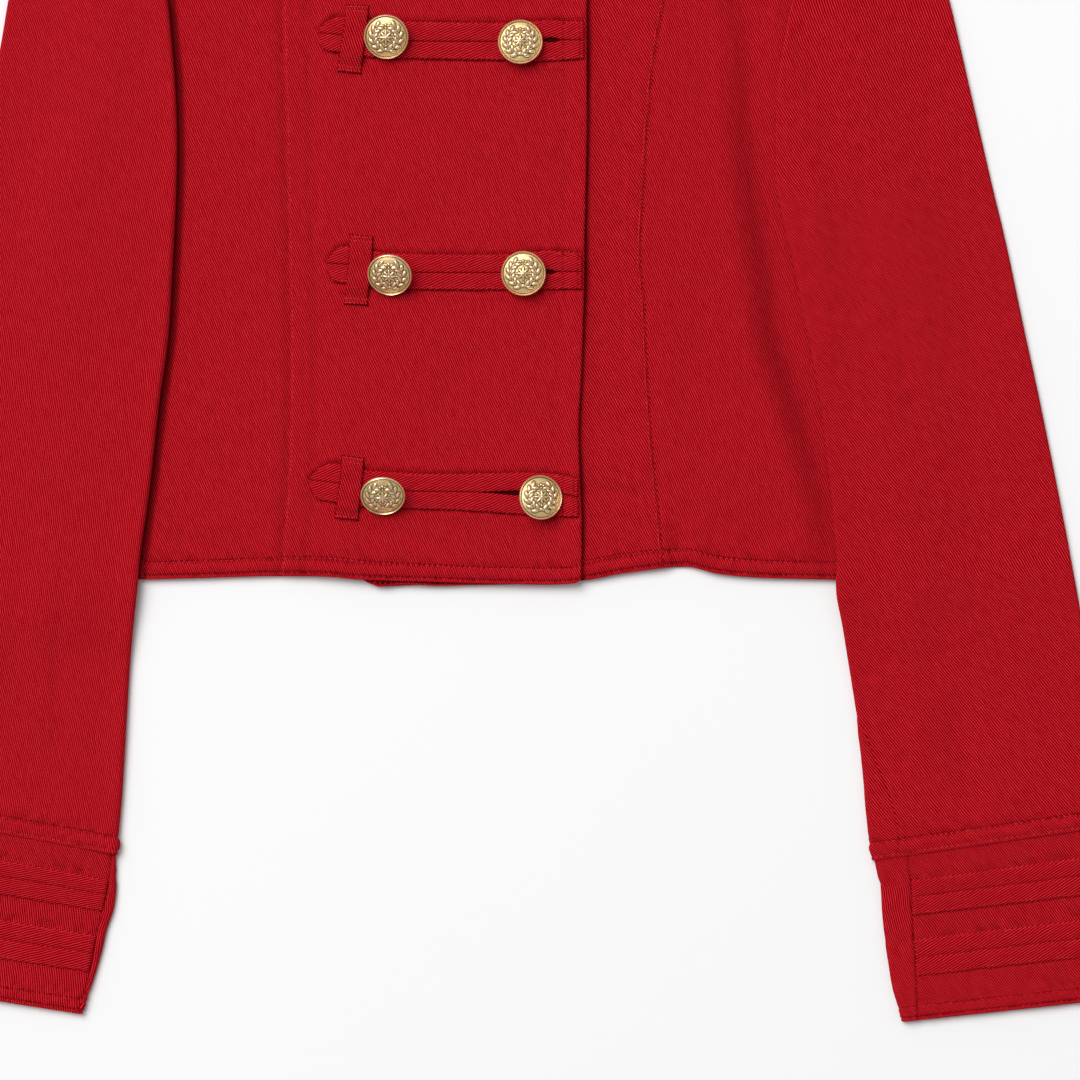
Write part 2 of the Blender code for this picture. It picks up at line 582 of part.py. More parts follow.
def under_columns(ring, turn, finish):
    """Distances from the seam under the outer edge, back below, to the seam at the inner edge."""
    if ring.outer_edge < NARROW:
        return even_columns(turn, finish, 14)
    span = ring.total - ring.outer_edge
    across = [ring.outer_edge + span * share for share in (0.12, 0.3, 0.5, 0.7, 0.87)]
    last = [ring.total + distance for distance in [-8.5] + INNER_ROLL + [7.0, 14.0]]
    inside = [turn, ring.outer_edge + 7.0] + across + last
    left = len(inside) - 1
    inside = [min(distance, finish - LEAST_COLUMN * (left - index))
              for index, distance in enumerate(inside)]
    return inside[:-1] + [finish]


def sleeve_heights(sign, inner, outer, is_open, flat_height, edge_puff):
    """Underside and top of a sleeve across one section."""
    across = (outer - inner).normalized()

    def support(distance, hold, reach):
        spot = inner + across * distance
        outside_by = sign * (spot.x - value_at(SIDE_AT[sign], spot.y))
        edge_x = spot.x - sign * max(outside_by, 0.0)
        fade = 1.0 - smoothstep((outside_by - hold) / reach)
        below_hem = SIDE_RIGHT[0][1] - spot.y
        fade *= 1.0 - smoothstep((below_hem - 8.0) / 34.0)
        return (body_top(edge_x, spot.y) + SLEEVE_GAP) * fade

    def low(distance):
        return 0.0 if is_open else support(distance, 14.0, 22.0)

    def high(distance):
        spot = inner + across * distance
        rest = 0.0 if is_open else support(distance, 14.0, 52.0)
        uneven = 0.25 * math.sin(spot.y / 37.0 + spot.x / 61.0)
        return rest + flat_height + edge_puff * math.exp(-(distance / 9.0) ** 2) + uneven

    return low, high


def cap_rows(sign):
    """Sections of a sleeve beside the armhole, where it is open and meets the body edge to edge."""
    armhole = [Vector(p) for p in reversed(ARMHOLES[sign])]
    caps = CAP_RIGHT if sign < 0 else CAP_LEFT
    rows = []
    for index, cap in enumerate(caps):
        along = (armhole[index + 1] - armhole[max(index - 1, 0)]).normalized()
        away = Vector((along.y, -along.x)) * -sign
        inner = armhole[index] + away * ARMHOLE_GAP
        if index == 0:
            inner += along * 1.2
        rows.append((inner, Vector(cap), None))
    return rows


def build_sleeve(name, sign, table, flat_height, edge_puff, twill):
    sections = []
    upper = []
    under = []
    rows = cap_rows(sign) + [(Vector((a, b)), Vector((c, d)), start) for a, b, c, d, start in table]
    for inner, outer, start in rows:
        is_open = start is None
        low, high = sleeve_heights(sign, inner, outer, is_open, flat_height, edge_puff)
        ring = Ring((outer - inner).length, low, high, is_open)
        sections.append((ring, inner, outer))
        begin = ring.quarter if is_open else start
        seam = SEAM + ROLL_SEAM * (not is_open and abs(start) < abs(TUCKED))
        finish = ring.total - ring.quarter if is_open else ring.total + start - seam
        turn = ring.outer_edge + OUTER_WRAP
        upper.append(upper_columns(ring, begin, turn))
        under.append(under_columns(ring, turn + SEAM, finish))
    add_wall(name + "_upper", *strip(sections, upper), twill)
    add_wall(name + "_under", *strip(sections, under), twill)


CUFF_FLAT = 3.4
CUFF_SHARES = [0.0, 0.025, 0.08, 0.26, 0.5, 0.74, 0.92]


def build_cuff(name, table, twill, tape):
    sections = []
    front = []
    back = []
    for inner_x, inner_y, outer_x, outer_y, split in table:
        inner = Vector((inner_x, inner_y))
        outer = Vector((outer_x, outer_y))
        ring = Ring((outer - inner).length, lambda d: 0.0, lambda d: CUFF_FLAT)
        sections.append((ring, inner, outer))
        turn = ring.outer_edge + OUTER_WRAP
        front.append([split + (ring.outer_edge - split) * share for share in CUFF_SHARES]
                     + [ring.outer_edge + distance for distance in OUTER_ROLL] + [turn])
        finish = ring.total + split - SEAM
        back.append([turn + SEAM]
                    + [turn + (ring.total - turn) * share for share in (0.1, 0.4, 0.7, 0.92)]
                    + [ring.total + distance for distance in INNER_ROLL] + [finish])
    add_wall(name + "_front", *strip(sections, front), twill)
    add_wall(name + "_back", *strip(sections, back), twill)

    depth = (sections[-1][1] - sections[0][1]).length
    for place_name, starts, meets, ends in CUFF_TAPES:
        outside = []
        inside = []
        for share, sunk in ((starts, 0.0), (meets - TAPE_GROOVE / depth, 0.0), (meets, TAPE_GROOVE),
                            (meets + TAPE_GROOVE / depth, 0.0), (ends, 0.0)):
            row = cuff_row(sections, table, share)
            inside.append([spot + Vector((0, 0, SEAM)) for spot in row])
            outside.append([spot + Vector((0, 0, SEAM + TAPE_WALL - sunk)) for spot in row])
        add_wall(f"{name}_tape_{place_name}", outside, inside, tape)


def cuff_row(sections, table, share, cols=8):
    """Points across the top of a cuff's front piece, at a share of the cuff's depth."""
    section = min(int(share * (len(table) - 1)), len(table) - 2)
    part = share * (len(table) - 1) - section
    rows = []
    for (ring, inner, outer), sizes in list(zip(sections, table))[section:section + 2]:
        first = max(sizes[4], ring.quarter) + 0.4
        last = ring.outer_edge - ring.quarter
        rows.append([place(inner, outer, ring.at(first + (last - first) * col / cols)[0])
                     for col in range(cols + 1)])
    return [start.lerp(end, part) for start, end in zip(*rows)]


# Tapes, tabs and buttons on the fronts --------------------------------------------------------

def tape_underside(x, y):
    return upper_front_top(x, y) + SEAM


def tape_top(x, y):
    return tape_underside(x, y) + TAPE_WALL


def build_front_tape(name, stations, tip, tape):
    points = []
    faces = []
    previous = None
    for x, upper, slit, lower in refine(stations):
        first = len(points)
        points += [(x, upper), (x, slit + SLIT / 2), (x, slit - SLIT / 2), (x, lower)]
        if previous is not None:
            faces.append([previous, previous + 1, first + 1, first])
            faces.append([previous + 2, previous + 3, first + 3, first + 2])
        previous = first
    x, upper, slit, lower = stations[-1]
    ends = [previous, previous + 1, previous + 2, previous + 3]
    shares = (0.12, 0.35, 0.6, 0.82, 1.0)
    for share in shares:
        across = x + (tip[0] - x) * share
        middle = slit + (tip[1] - slit) * share
        narrow = 1.0 - share ** 2.2 if share < 1.0 else 0.06
        first = len(points)
        points += [(across, middle + (upper - slit) * narrow), (across, middle),
                   (across, middle + (lower - slit) * narrow)]
        if len(ends) == 4:
            faces.append([ends[0], ends[1], first + 1, first])
            faces.append([ends[2], ends[3], first + 2, first + 1])
            faces.append([ends[1], ends[2], first + 1])
        else:
            faces.append([ends[0], ends[1], first + 1, first])
            faces.append([ends[1], ends[2], first + 2, first + 1])
        ends = [first, first + 1, first + 2]
    return add_plate(name, [(x, y, tape_underside(x, y)) for x, y in points], faces, TAPE_WALL, tape)


def refine(stations, longest=14.0):
    """Adds stations so that a tape follows the front below it."""
    found = [stations[0]]
    for start, end in zip(stations, stations[1:]):
        count = math.ceil(abs(end[0] - start[0]) / longest)
        for step in range(1, count + 1):
            share = step / count
            found.append(tuple(a + (b - a) * share for a, b in zip(start, end)))
    return found


def build_tab(name, corners, stations, tape):
    """A short tape sewn down over the leaf: it steps up over the folded tape and down again."""
    upper_a, upper_b, lower_b, lower_a = [Vector(c) for c in corners]
    step_in = 1.4       # the tab clears the edge of the tape by this much before it steps down
    step_out = 3.6
    cols = 3
    columns = []
    for col in range(cols):
        top = upper_a.lerp(upper_b, col / (cols - 1))
        bottom = lower_a.lerp(lower_b, col / (cols - 1))
        middle_x = (top.x + bottom.x) / 2
        high = value_at([(s[0], s[1]) for s in stations], middle_x)
        low = value_at([(s[0], s[3]) for s in stations], middle_x)
        levels = [(top.y, False), (high + step_out, False), (high + step_in, True),
                  ((high + low) / 2, True), (low - step_in, True), (low - step_out, False),
                  (bottom.y, False)]
        column = []
        for level, over_tape in levels:
            x = top.x + (bottom.x - top.x) * (top.y - level) / (top.y - bottom.y)
            rest = tape_top(x, level) + SEAM if over_tape else tape_underside(x, level)
            column.append((x, level, rest))
        columns.append(column)
    rows = len(columns[0])
    points = [columns[col][row] for row in range(rows) for col in range(cols)]
    faces = [[row * cols + col, row * cols + col + 1, (row + 1) * cols + col + 1, (row + 1) * cols + col]
             for row in range(rows - 1) for col in range(cols - 1)]
    return add_plate(name, points, faces, TAPE_WALL, tape)


def build_button(name, x, y, tilt, towards, brass):
    """Domed button with a raised rim and a plain rosette, on a shank that leans with it."""
    tilt = math.radians(tilt)
    towards = math.radians(towards)
    foot_lift = SHANK_RADIUS * math.sin(tilt)
    shank = max(2.6, (10.8 * math.sin(tilt) + 0.4 - foot_lift) / math.cos(tilt))
    profile = [(3.0, 2.4), (6.4, 2.05), (9.5, 1.6), (10.2, 2.15), (11.1, 1.95), (BUTTON_RADIUS, 1.1),
               (10.8, 0.0), (SHANK_RADIUS, 0.0), (SHANK_RADIUS, -shank)]
    vertices = [(0.0, 0.0, 2.5)]
    for ring, (radius, height) in enumerate(profile):
        for segment in range(BUTTON_SEGMENTS):
            angle = 2 * math.pi * segment / BUTTON_SEGMENTS
            rise = PETAL_RISE * math.cos(BUTTON_PETALS * angle) if ring < 2 else 0.0
            vertices.append((radius * math.cos(angle), radius * math.sin(angle), height + rise))
    vertices.append((0.0, 0.0, -shank))
    faces = []
    last = len(vertices) - 1
    for segment in range(BUTTON_SEGMENTS):
        after = (segment + 1) % BUTTON_SEGMENTS
        faces.append((0, 1 + segment, 1 + after))
        for ring in range(len(profile) - 1):
            row = 1 + ring * BUTTON_SEGMENTS
            faces.append((row + segment, row + BUTTON_SEGMENTS + segment,
                          row + BUTTON_SEGMENTS + after, row + after))
        row = 1 + (len(profile) - 1) * BUTTON_SEGMENTS
        faces.append((last, row + after, row + segment))
    # the face's middle stays at (x, y): the foot of the shank is set back towards the raised side
    set_back = (shank + 1.6) * math.sin(tilt)
    foot_x = x + set_back * math.cos(towards)
    foot_y = y + set_back * math.sin(towards)
    foot = Vector((foot_x, foot_y, tape_top(foot_x, foot_y) + SEAM + foot_lift))
    lean_axis = Vector((math.sin(towards), -math.cos(towards), 0.0))
    turn = Matrix.Translation(foot) @ Matrix.Rotation(tilt, 4, lean_axis).to_4x4()
    turn = turn @ Matrix.Translation((0.0, 0.0, shank))
    return add_solid(name, [turn @ Vector(v) for v in vertices], faces, brass, 30.0)


def build_trimmings(tape, brass):
    rows = {"top": TAPE_TOP_ROW, "middle": TAPE_MIDDLE_ROW, "bottom": TAPE_BOTTOM_ROW}
    for (row, stations), corners in zip(rows.items(), TABS):
        build_front_tape(f"front_tape_{row}", stations, LEAF_TIPS[row], tape)
        build_tab(f"tab_{row}", corners, stations, tape)
    for name, x, y, tilt, towards in BUTTONS:
        build_button("button_" + name, x, y, tilt, towards, brass)


def main():
    clear_scene()
    twill = make_material("red_twill", (0.42, 0.009, 0.016), 0.85, 0.0)
    tape = make_material("red_tape", (0.40, 0.008, 0.016), 0.75, 0.0)
    brass = make_material("pale_brass", (0.72, 0.58, 0.30), 0.3, 1.0)
    build_body(twill)
    build_collar(twill)
    build_sleeve("sleeve_right", -1, SLEEVE_RIGHT, 3.5, 0.7, twill)
    build_sleeve("sleeve_left", 1, SLEEVE_LEFT, 3.3, 0.0, twill)
    build_cuff("cuff_right", CUFF_RIGHT, twill, tape)
    build_cuff("cuff_left", CUFF_LEFT, twill, tape)
    build_trimmings(tape, brass)


main()
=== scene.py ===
import math

import bpy
import numpy as np
from mathutils import Matrix, Vector


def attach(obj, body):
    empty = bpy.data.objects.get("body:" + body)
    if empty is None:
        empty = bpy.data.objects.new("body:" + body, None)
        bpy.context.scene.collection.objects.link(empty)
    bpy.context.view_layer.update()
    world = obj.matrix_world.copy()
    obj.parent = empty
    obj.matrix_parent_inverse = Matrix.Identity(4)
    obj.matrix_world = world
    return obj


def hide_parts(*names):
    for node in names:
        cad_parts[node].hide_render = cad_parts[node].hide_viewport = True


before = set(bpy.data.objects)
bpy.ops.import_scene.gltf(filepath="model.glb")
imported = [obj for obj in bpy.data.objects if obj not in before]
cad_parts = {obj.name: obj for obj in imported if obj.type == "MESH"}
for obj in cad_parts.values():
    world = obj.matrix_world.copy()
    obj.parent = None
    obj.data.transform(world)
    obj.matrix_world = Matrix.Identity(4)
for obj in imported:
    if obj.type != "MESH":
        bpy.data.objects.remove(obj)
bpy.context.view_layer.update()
mm = 0.001
print("frame loaded:", len(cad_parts), "nodes")


# smooth steps, curves and unevenness

def smooth(value):
    value = np.clip(value, 0.0, 1.0)
    return value * value * (3.0 - 2.0 * value)


def bell(value):
    return np.exp(-value * value)


def curveThrough(points, perSpan=14):
    knots = np.array(points, float)
    knots = np.vstack([2 * knots[0] - knots[1], knots, 2 * knots[-1] - knots[-2]])
    t = (np.arange(perSpan) / perSpan)[:, None]
    spans = []
    for before, start, end, after in zip(knots, knots[1:], knots[2:], knots[3:]):
        spans.append(0.5 * (2 * start + (end - before) * t
                            + (2 * before - 5 * start + 4 * end - after) * t ** 2
                            + (3 * start - before - 3 * end + after) * t ** 3))
    return np.vstack(spans + [knots[-2:-1]])


def pathLengths(points):
    return np.concatenate([[0.0], np.cumsum(np.linalg.norm(np.diff(points, axis=0), axis=1))])


def alongPath(points, distances, lengths=None):
    lengths = pathLengths(points) if lengths is None else lengths
    return np.column_stack([np.interp(distances, lengths, points[:, k]) for k in range(points.shape[1])])


def readCurve(curve, key, keyColumn=0, column=1):
    order = np.argsort(curve[:, keyColumn], kind="stable")
    return np.interp(key, curve[order, keyColumn], curve[order, column])


def spaced(total, near, far, pitch):
    near = [d for d in near if d < total * 0.45]
    far = [total - d for d in reversed(far) if d < total * 0.45]
    count = max(1, int(round((far[0] - near[-1]) / pitch)))
    return np.concatenate([near, np.linspace(near[-1], far[0], count + 1)[1:-1], far])


lattice = np.random.RandomState(11).uniform(-1.0, 1.0, (64, 64))


def uneven(x, y, cell, shift=0.0):
    # smooth random height from -1 to 1, with bumps about as wide as cell
    u, v = x / cell + shift * 7.3, y / cell + shift * 3.1
    iu, iv = np.floor(u).astype(int), np.floor(v).astype(int)
    fu, fv = smooth(u - iu), smooth(v - iv)
    low = lattice[iu % 64, iv % 64] * (1 - fu) + lattice[(iu + 1) % 64, iv % 64] * fu
    high = lattice[iu % 64, (iv + 1) % 64] * (1 - fu) + lattice[(iu + 1) % 64, (iv + 1) % 64] * fu
    return low * (1 - fv) + high * fv


def creaseHeight(x, y, creases):
    # each crease: start x, y, end x, y, half width, height (below 0 for a trough)
    total = np.zeros_like(x, dtype=float)
    for x0, y0, x1, y1, width, height in creases:
        length = math.hypot(x1 - x0, y1 - y0)
        ax, ay = (x1 - x0) / length, (y1 - y0) / length
        along = ((x - x0) * ax + (y - y0) * ay) / length
        across = (y - y0) * ax - (x - x0) * ay + 0.12 * length * np.sin(along * 2.6) * 0.3
        total += height * bell(across / width) * smooth(along / 0.3) * smooth((1 - along) / 0.3)
    return total


# node helpers: an input takes a value or another node's output, by its name or number

def fill(tree, sockets, values):
    for name, value in dict(values).items():
        if isinstance(value, bpy.types.NodeSocket):
            tree.links.new(value, sockets[name])
        else:
            sockets[name].default_value = value


def addNode(tree, kind, values=(), output=0, **settings):
    node = tree.nodes.new(kind)
    for name, value in settings.items():
        setattr(node, name, value)
    fill(tree, node.inputs, values)
    return node.outputs[output]


def calc(tree, operation, *values, clamp=False):
    return addNode(tree, "ShaderNodeMath", enumerate(values), operation=operation, use_clamp=clamp)


def noiseValue(tree, vector, scale, detail=2.0, roughness=0.5):
    values = {"Vector": vector, "Scale": scale, "Detail": detail, "Roughness": roughness}
    return addNode(tree, "ShaderNodeTexNoise", values, "Fac")


def blendColour(tree, factor, first, second):
    values = {0: factor, 6: first, 7: second}
    return addNode(tree, "ShaderNodeMix", values, 2, data_type="RGBA", clamp_result=True)


def attribute(tree, name):
    return addNode(tree, "ShaderNodeAttribute", (), "Fac", attribute_name=name)


def newGroup(name, treeType, inputs, outputs):
    # inputs and outputs: the kind of each socket by its label
    group = bpy.data.node_groups.new(name, treeType)
    for way, sockets in (("INPUT", inputs), ("OUTPUT", outputs)):
        for label, kind in sockets.items():
            group.interface.new_socket(label, in_out=way, socket_type="NodeSocket" + kind)
    return group, group.nodes.new("NodeGroupInput").outputs, group.nodes.new("NodeGroupOutput").inputs


def newMaterial(name):
    material = bpy.data.materials.new(name)
    material.use_nodes = True
    return material, material.node_tree, material.node_tree.nodes["Principled BSDF"].inputs


def newObject(name, data):
    piece = bpy.data.objects.new(name, data)
    bpy.context.scene.collection.objects.link(piece)
    return piece


def buildTwillWeave():
    # diagonal wales made of short floats, with fuzz and a slow mottle, painted light on the ridges, painted
    # shade in the grooves and a painted pale sheen on the brightest crests; the vector is in metres on the
    # cloth
    kinds = {"Vector": "Vector", "Ridge": "Color", "Groove": "Color"}
    kinds.update(dict.fromkeys(("Angle", "Pitch", "Contrast", "Mottle", "Sheen"), "Float"))
    group, given, result = newGroup("twillWeave", "ShaderNodeTree", kinds,
                                    {"Color": "Color", "Height": "Float", "Roughness": "Float"})
    vector, pitch, contrast, mottle = [given[name] for name in ("Vector", "Pitch", "Contrast", "Mottle")]

    def times(first, second, more=0.0):
        return calc(group, "MULTIPLY_ADD", first, second, more)

    def less(value, amount=0.5, clamp=False):
        return calc(group, "SUBTRACT", value, amount, clamp=clamp)

    def wave(turns):
        return times(calc(group, "SINE", times(turns, 2 * math.pi)), 0.5, 0.5)

    def swell(place, scale, detail, roughness):
        return less(noiseValue(group, place, scale, detail, roughness))

    turned = addNode(group, "ShaderNodeVectorRotate", {"Vector": vector, "Angle": given["Angle"]},
                     rotation_type="Z_AXIS")
    right, up = [addNode(group, "ShaderNodeSeparateXYZ", {0: turned}, axis) for axis in "XY"]
    across = times(swell(vector, 70.0, 3.0, 0.6), 0.0016, right)
    turns = calc(group, "DIVIDE", across, pitch)
    wale = wave(turns)
    step = times(calc(group, "FLOOR", calc(group, "ADD", turns, 0.25)), 0.37)
    yarn = wave(calc(group, "ADD", calc(group, "DIVIDE", up, times(pitch, 1.15)), step))
    fuzz, patch = swell(vector, 1500.0, 2.0, 0.7), swell(vector, 330.0, 3.0, 0.6)
    slow = swell(vector, 28.0, 3.0, 0.55)
    stretched = addNode(group, "ShaderNodeCombineXYZ", {"X": across, "Y": times(up, 0.16)})
    streak = swell(stretched, 850.0, 2.0, 0.6)
    light = times(less(wale), times(contrast, times(patch, 0.7, 0.95)))
    patterns = ((less(yarn), contrast, 0.16), (streak, contrast, 0.65), (fuzz, mottle, 3.2),
                (patch, mottle, 0.3), (slow, mottle, 0.2))
    for pattern, amount, share in patterns:
        light = times(pattern, times(amount, share), light)
    # the wale colours: partly the weave itself, partly painted light on the ridges and painted shade in the
    # grooves
    litAndShadedWeave = blendColour(group, calc(group, "ADD", light, 0.5, clamp=True), given["Groove"], given["Ridge"])
    # painted sheen: the brightest crests blend toward a pale pinkish white
    crest = times(streak, 0.35, times(fuzz, times(mottle, 1.8), wale))
    pale = times(less(crest, 0.70, True), given["Sheen"])
    fill(group, result, {"Color": blendColour(group, pale, litAndShadedWeave, (1.0, 0.88, 1.0, 1.0)),
                         "Height": times(fuzz, 0.5, times(wale, 0.6, times(yarn, 0.25))),
                         "Roughness": times(wale, -0.08, 0.9)})
    return group


twillWeave = buildTwillWeave()
# ridge and groove colours: partly the weave, partly painted light on ridges and painted shade in grooves; the
# sheen strength paints a pale highlight on the crests
clothRed = {"ridge": (0.640, 0.0002, 0.0095), "groove": (0.162, 0.0002, 0.0020), "angle": -23.0,
            "pitch": 0.00110, "contrast": 0.68, "mottle": 0.33, "sheen": 0.12, "bump": 0.00035,
            "deep": (0.060, 0.0004, 0.0010, 1.0), "paintedShadeShare": 0.85}
# angle in degrees, pitch and bump in metres; the last two: the colour of the painted shade in creases, seams
# and beside other layers, and how much of it shows where that painted shade is full


def twillCloth(name, tone=1.0, **changes):
    look = dict(clothRed, **changes)
    material, tree, shader = newMaterial(name)
    weave = tree.nodes.new("ShaderNodeGroup")
    weave.node_tree = twillWeave
    place = addNode(tree, "ShaderNodeUVMap", uv_map="weave")
    values = {"Vector": place, "Angle": math.radians(look["angle"])}
    for label in ("pitch", "contrast", "mottle", "sheen"):
        values[label.capitalize()] = look[label]
    for label in ("ridge", "groove"):
        values[label.capitalize()] = (*[c * tone for c in look[label]], 1.0)
    fill(tree, weave.inputs, values)
    # painted shade: the cloth's colour goes toward the deep colour in creases, seams and beside other layers
    depth = calc(tree, "MULTIPLY", attribute(tree, "hollow"), look["paintedShadeShare"])
    bump = addNode(tree, "ShaderNodeBump", {"Strength": 1.0, "Distance": look["bump"],
                                            "Height": weave.outputs["Height"]})
    fill(tree, shader, {"Base Color": blendColour(tree, depth, weave.outputs["Color"], look["deep"]),
                        "Roughness": weave.outputs["Roughness"], "Normal": bump, "Specular IOR Level": 0.012})
    return material


def threadAndPaintedShade(name, colour, roughness=0.95):
    # a speckled matte colour: for thread, and for the dark beads and strips of painted shade
    material, tree, shader = newMaterial(name)
    speck = noiseValue(tree, addNode(tree, "ShaderNodeTexCoord", (), "Object"), 900.0)
    darker, lighter = [(*[c * share for c in colour], 1.0) for share in (0.6, 1.4)]
    fill(tree, shader, {"Base Color": blendColour(tree, speck, darker, lighter), "Roughness": roughness,
                        "Specular IOR Level": 0.06})
    return material


bodyTwill = twillCloth("bodyTwill")
lowerFrontTwill = twillCloth("lowerFrontTwill", angle=-30.0, contrast=0.82, pitch=0.00115)
rightSleeveTwill = twillCloth("rightSleeveTwill", angle=-17.0, contrast=0.44)
leftSleeveTwill = twillCloth("leftSleeveTwill", angle=-32.0, contrast=0.92, pitch=0.00115)
rightCuffTwill = twillCloth("rightCuffTwill", 0.97, contrast=0.84)
leftCuffTwill = twillCloth("leftCuffTwill", 0.98, angle=-28.0, contrast=0.92)
cuffBackTwill = twillCloth("cuffBackTwill", angle=-14.0, contrast=0.7)
tapeTwill = twillCloth("tapeTwill", 0.98, angle=66.0, contrast=0.66, pitch=0.0012, bump=0.0004)
tabTwill = twillCloth("tabTwill", 0.98, angle=-26.0, contrast=0.7, pitch=0.0012, bump=0.0005)
sewingThread = threadAndPaintedShade("sewingThread", (0.60, 0.022, 0.036), 0.7)
paleThread = threadAndPaintedShade("paleThread", (0.70, 0.040, 0.058), 0.7)
# painted shade: dark matte colours for beads and strips that stand for shadow in sewn hollows, beside tape
# edges and in the slit
softShade = threadAndPaintedShade("softShade", (0.270, 0.0012, 0.0045))
deepShade = threadAndPaintedShade("deepShade", (0.135, 0.0008, 0.0025))
slitShade = threadAndPaintedShade("slitShade", (0.035, 0.0010, 0.0014))
print("cloth materials made")


# cloth shells: a dense outside, a sparse inside and a rim between them

cloth = {"wall": 1.2, "seam": 0.05, "frontRest": 1.95, "lapGap": 0.45, "sleeveGap": 0.4,
         "armholeGap": -0.6, "rest": 0.1, "rimRadius": 0.65, "rimShare": 0.82}
hemSteps = [0, 0.12, 0.35, 0.7, 1.1, 1.45, 1.8, 2.15, 2.6, 3.3, 4.2, 5.2, 6.2, 7.1, 7.7, 8.15, 8.5, 8.85, 9.3,
            10.0, 11.0, 12.2]
seamSteps = [0, 0.12, 0.35, 0.7, 1.1, 1.6, 2.3, 3.2]
plainSteps = [0, 0.2, 0.6, 1.2, 2.2]
hemRow = {"lower": 1.8, "upper": 8.5}
bothSides = ("right", "left")
finished = []     # (object, node it stands for, sheet facts)
shells = {}


def rimDrop(distance):
    rise = 1 - np.clip(distance / cloth["rimRadius"], 0, 1)
    return cloth["rimShare"] * cloth["wall"] / 2 * (1 - np.sqrt(np.maximum(1 - rise * rise, 0)))


def edgeDistance(rows, columns, free=(True, True, True, True)):
    # distance to the nearest free edge: first row, last row, first column, last column
    ends = ((rows, 0), (rows, -1), (columns, 0), (columns, -1))
    gaps = [abs(places - places[end]) + (0 if isFree else 1e3) for (places, end), isFree in zip(ends, free)]
    return np.minimum(np.minimum(gaps[0], gaps[1])[:, None], np.minimum(gaps[2], gaps[3])[None, :])


def outwards(vertices, faceSets):
    # face sets of a closed shell, turned so that its faces point out
    volume = 0.0
    for faces in faceSets:
        corners = vertices[faces]
        for k in range(1, faces.shape[1] - 1):
            volume += np.einsum("ij,ij->i", corners[:, 0], np.cross(corners[:, k], corners[:, k + 1])).sum()
    return [faces[:, ::-1] for faces in faceSets] if volume < 0 else faceSets


def shifted(height, places, shift):
    # the heights a little further along the columns
    at = np.clip(places + shift, places[0], places[-1])
    index = np.clip(np.searchsorted(places, at) - 1, 0, len(places) - 2)
    part = (at - places[index]) / (places[index + 1] - places[index])
    return height[:, index] * (1 - part) + height[:, index + 1] * part


def hollows(lift, rows, columns):
    # painted shade: how deep each spot lies in a crease or a sewn line, from 0 to 1, to darken the cloth's
    # colour there
    total = np.zeros_like(lift)
    for reach, deep, share in ((1.3, 0.6, 0.6), (5.0, 1.2, 0.25)):
        around = sum(shifted(lift, columns, s) + shifted(lift.T, rows, s).T for s in (-reach, reach)) / 4
        total += share * np.clip((around - lift - 0.05) / deep, 0, 1)
    return total


def meshObject(name, vertices, faceSets, material, uv=None, sharp=55.0, **shades):
    # vertices in millimetres; a face set is an array of faces with as many corners; shades: a value a point
    faceSets = outwards(vertices, faceSets)
    mesh = bpy.data.meshes.new(name)
    mesh.from_pydata((vertices * mm).tolist(), [], [face for faces in faceSets for face in faces.tolist()])
    if uv is not None:
        order = np.concatenate([faces.ravel() for faces in faceSets])
        mesh.uv_layers.new(name="weave").data.foreach_set("uv", (uv[order] * mm).astype(np.float32).ravel())
    for label, values in shades.items():
        layer = mesh.attributes.new(label, "FLOAT", "POINT")
        layer.data.foreach_set("value", np.clip(values, 0, 1).astype(np.float32))
    mesh.shade_smooth()
    mesh.set_sharp_from_angle(angle=math.radians(sharp))
    mesh.materials.append(material)
    return newObject(name, mesh)


def gridFaces(rows, columns, first=0):
    corner = (np.arange(rows - 1)[:, None] * columns + np.arange(columns - 1)[None, :]).ravel() + first
    return np.column_stack([corner, corner + 1, corner + columns + 1, corner + columns])


def keptLines(count):
    index = np.arange(count)
    return index[(index < 6) | (index >= count - 6) | (index % 3 == 0)]


def shellParts(outside, inside):
    # the dense outside, a sparser inside and the rim; source is each vertex's place in the outside's grid
    rows, columns = outside.shape[:2]
    keptRows, keptColumns = keptLines(rows), keptLines(columns)
    grid = np.arange(rows * columns).reshape(rows, columns)
    under = np.ix_(keptRows, keptColumns)
    vertices = np.vstack([outside.reshape(-1, 3), inside[under].reshape(-1, 3)])
    source = np.concatenate([grid.ravel(), grid[under].ravel()])
    rim = np.concatenate([grid[0], grid[1:, -1], grid[-1, -2::-1], grid[-2:0:-1, 0]])
    nearRow = np.searchsorted(keptRows, rim // columns, side="right") - 1
    nearColumn = np.searchsorted(keptColumns, rim % columns, side="right") - 1
    low = grid.size + nearRow * len(keptColumns) + nearColumn
    nextRim, nextLow = np.roll(rim, -1), np.roll(low, -1)
    same = low == nextLow
    quads = np.vstack([gridFaces(rows, columns),
                       gridFaces(len(keptRows), len(keptColumns), grid.size)[:, ::-1],
                       np.column_stack([rim, low, nextLow, nextRim])[~same]])
    return vertices, [quads, np.column_stack([rim, low, nextRim])[same]], source


def clothShell(name, node, restsOn, outside, inside, uv, material, rows, columns, hollow=None):
    vertices, faceSets, source = shellParts(outside, inside)
    flatUv = uv.reshape(-1, 2)
    hollow = np.zeros(outside.shape[:2]) if hollow is None else hollow
    piece = meshObject(name, vertices, faceSets, material, flatUv[source], hollow=hollow.ravel()[source])
    quads = flatUv[gridFaces(*outside.shape[:2])]
    diagonalA, diagonalB = quads[:, 2] - quads[:, 0], quads[:, 3] - quads[:, 1]
    area = np.abs(diagonalA[:, 0] * diagonalB[:, 1] - diagonalA[:, 1] * diagonalB[:, 0]).sum() / 2
    size = flatUv.max(0) - flatUv.min(0)
    finished.append((piece, node, {"flat": size, "area": area, "rests": restsOn}))
    shells[name] = {"outside": outside, "rows": rows, "columns": columns}


# the outlines of the body

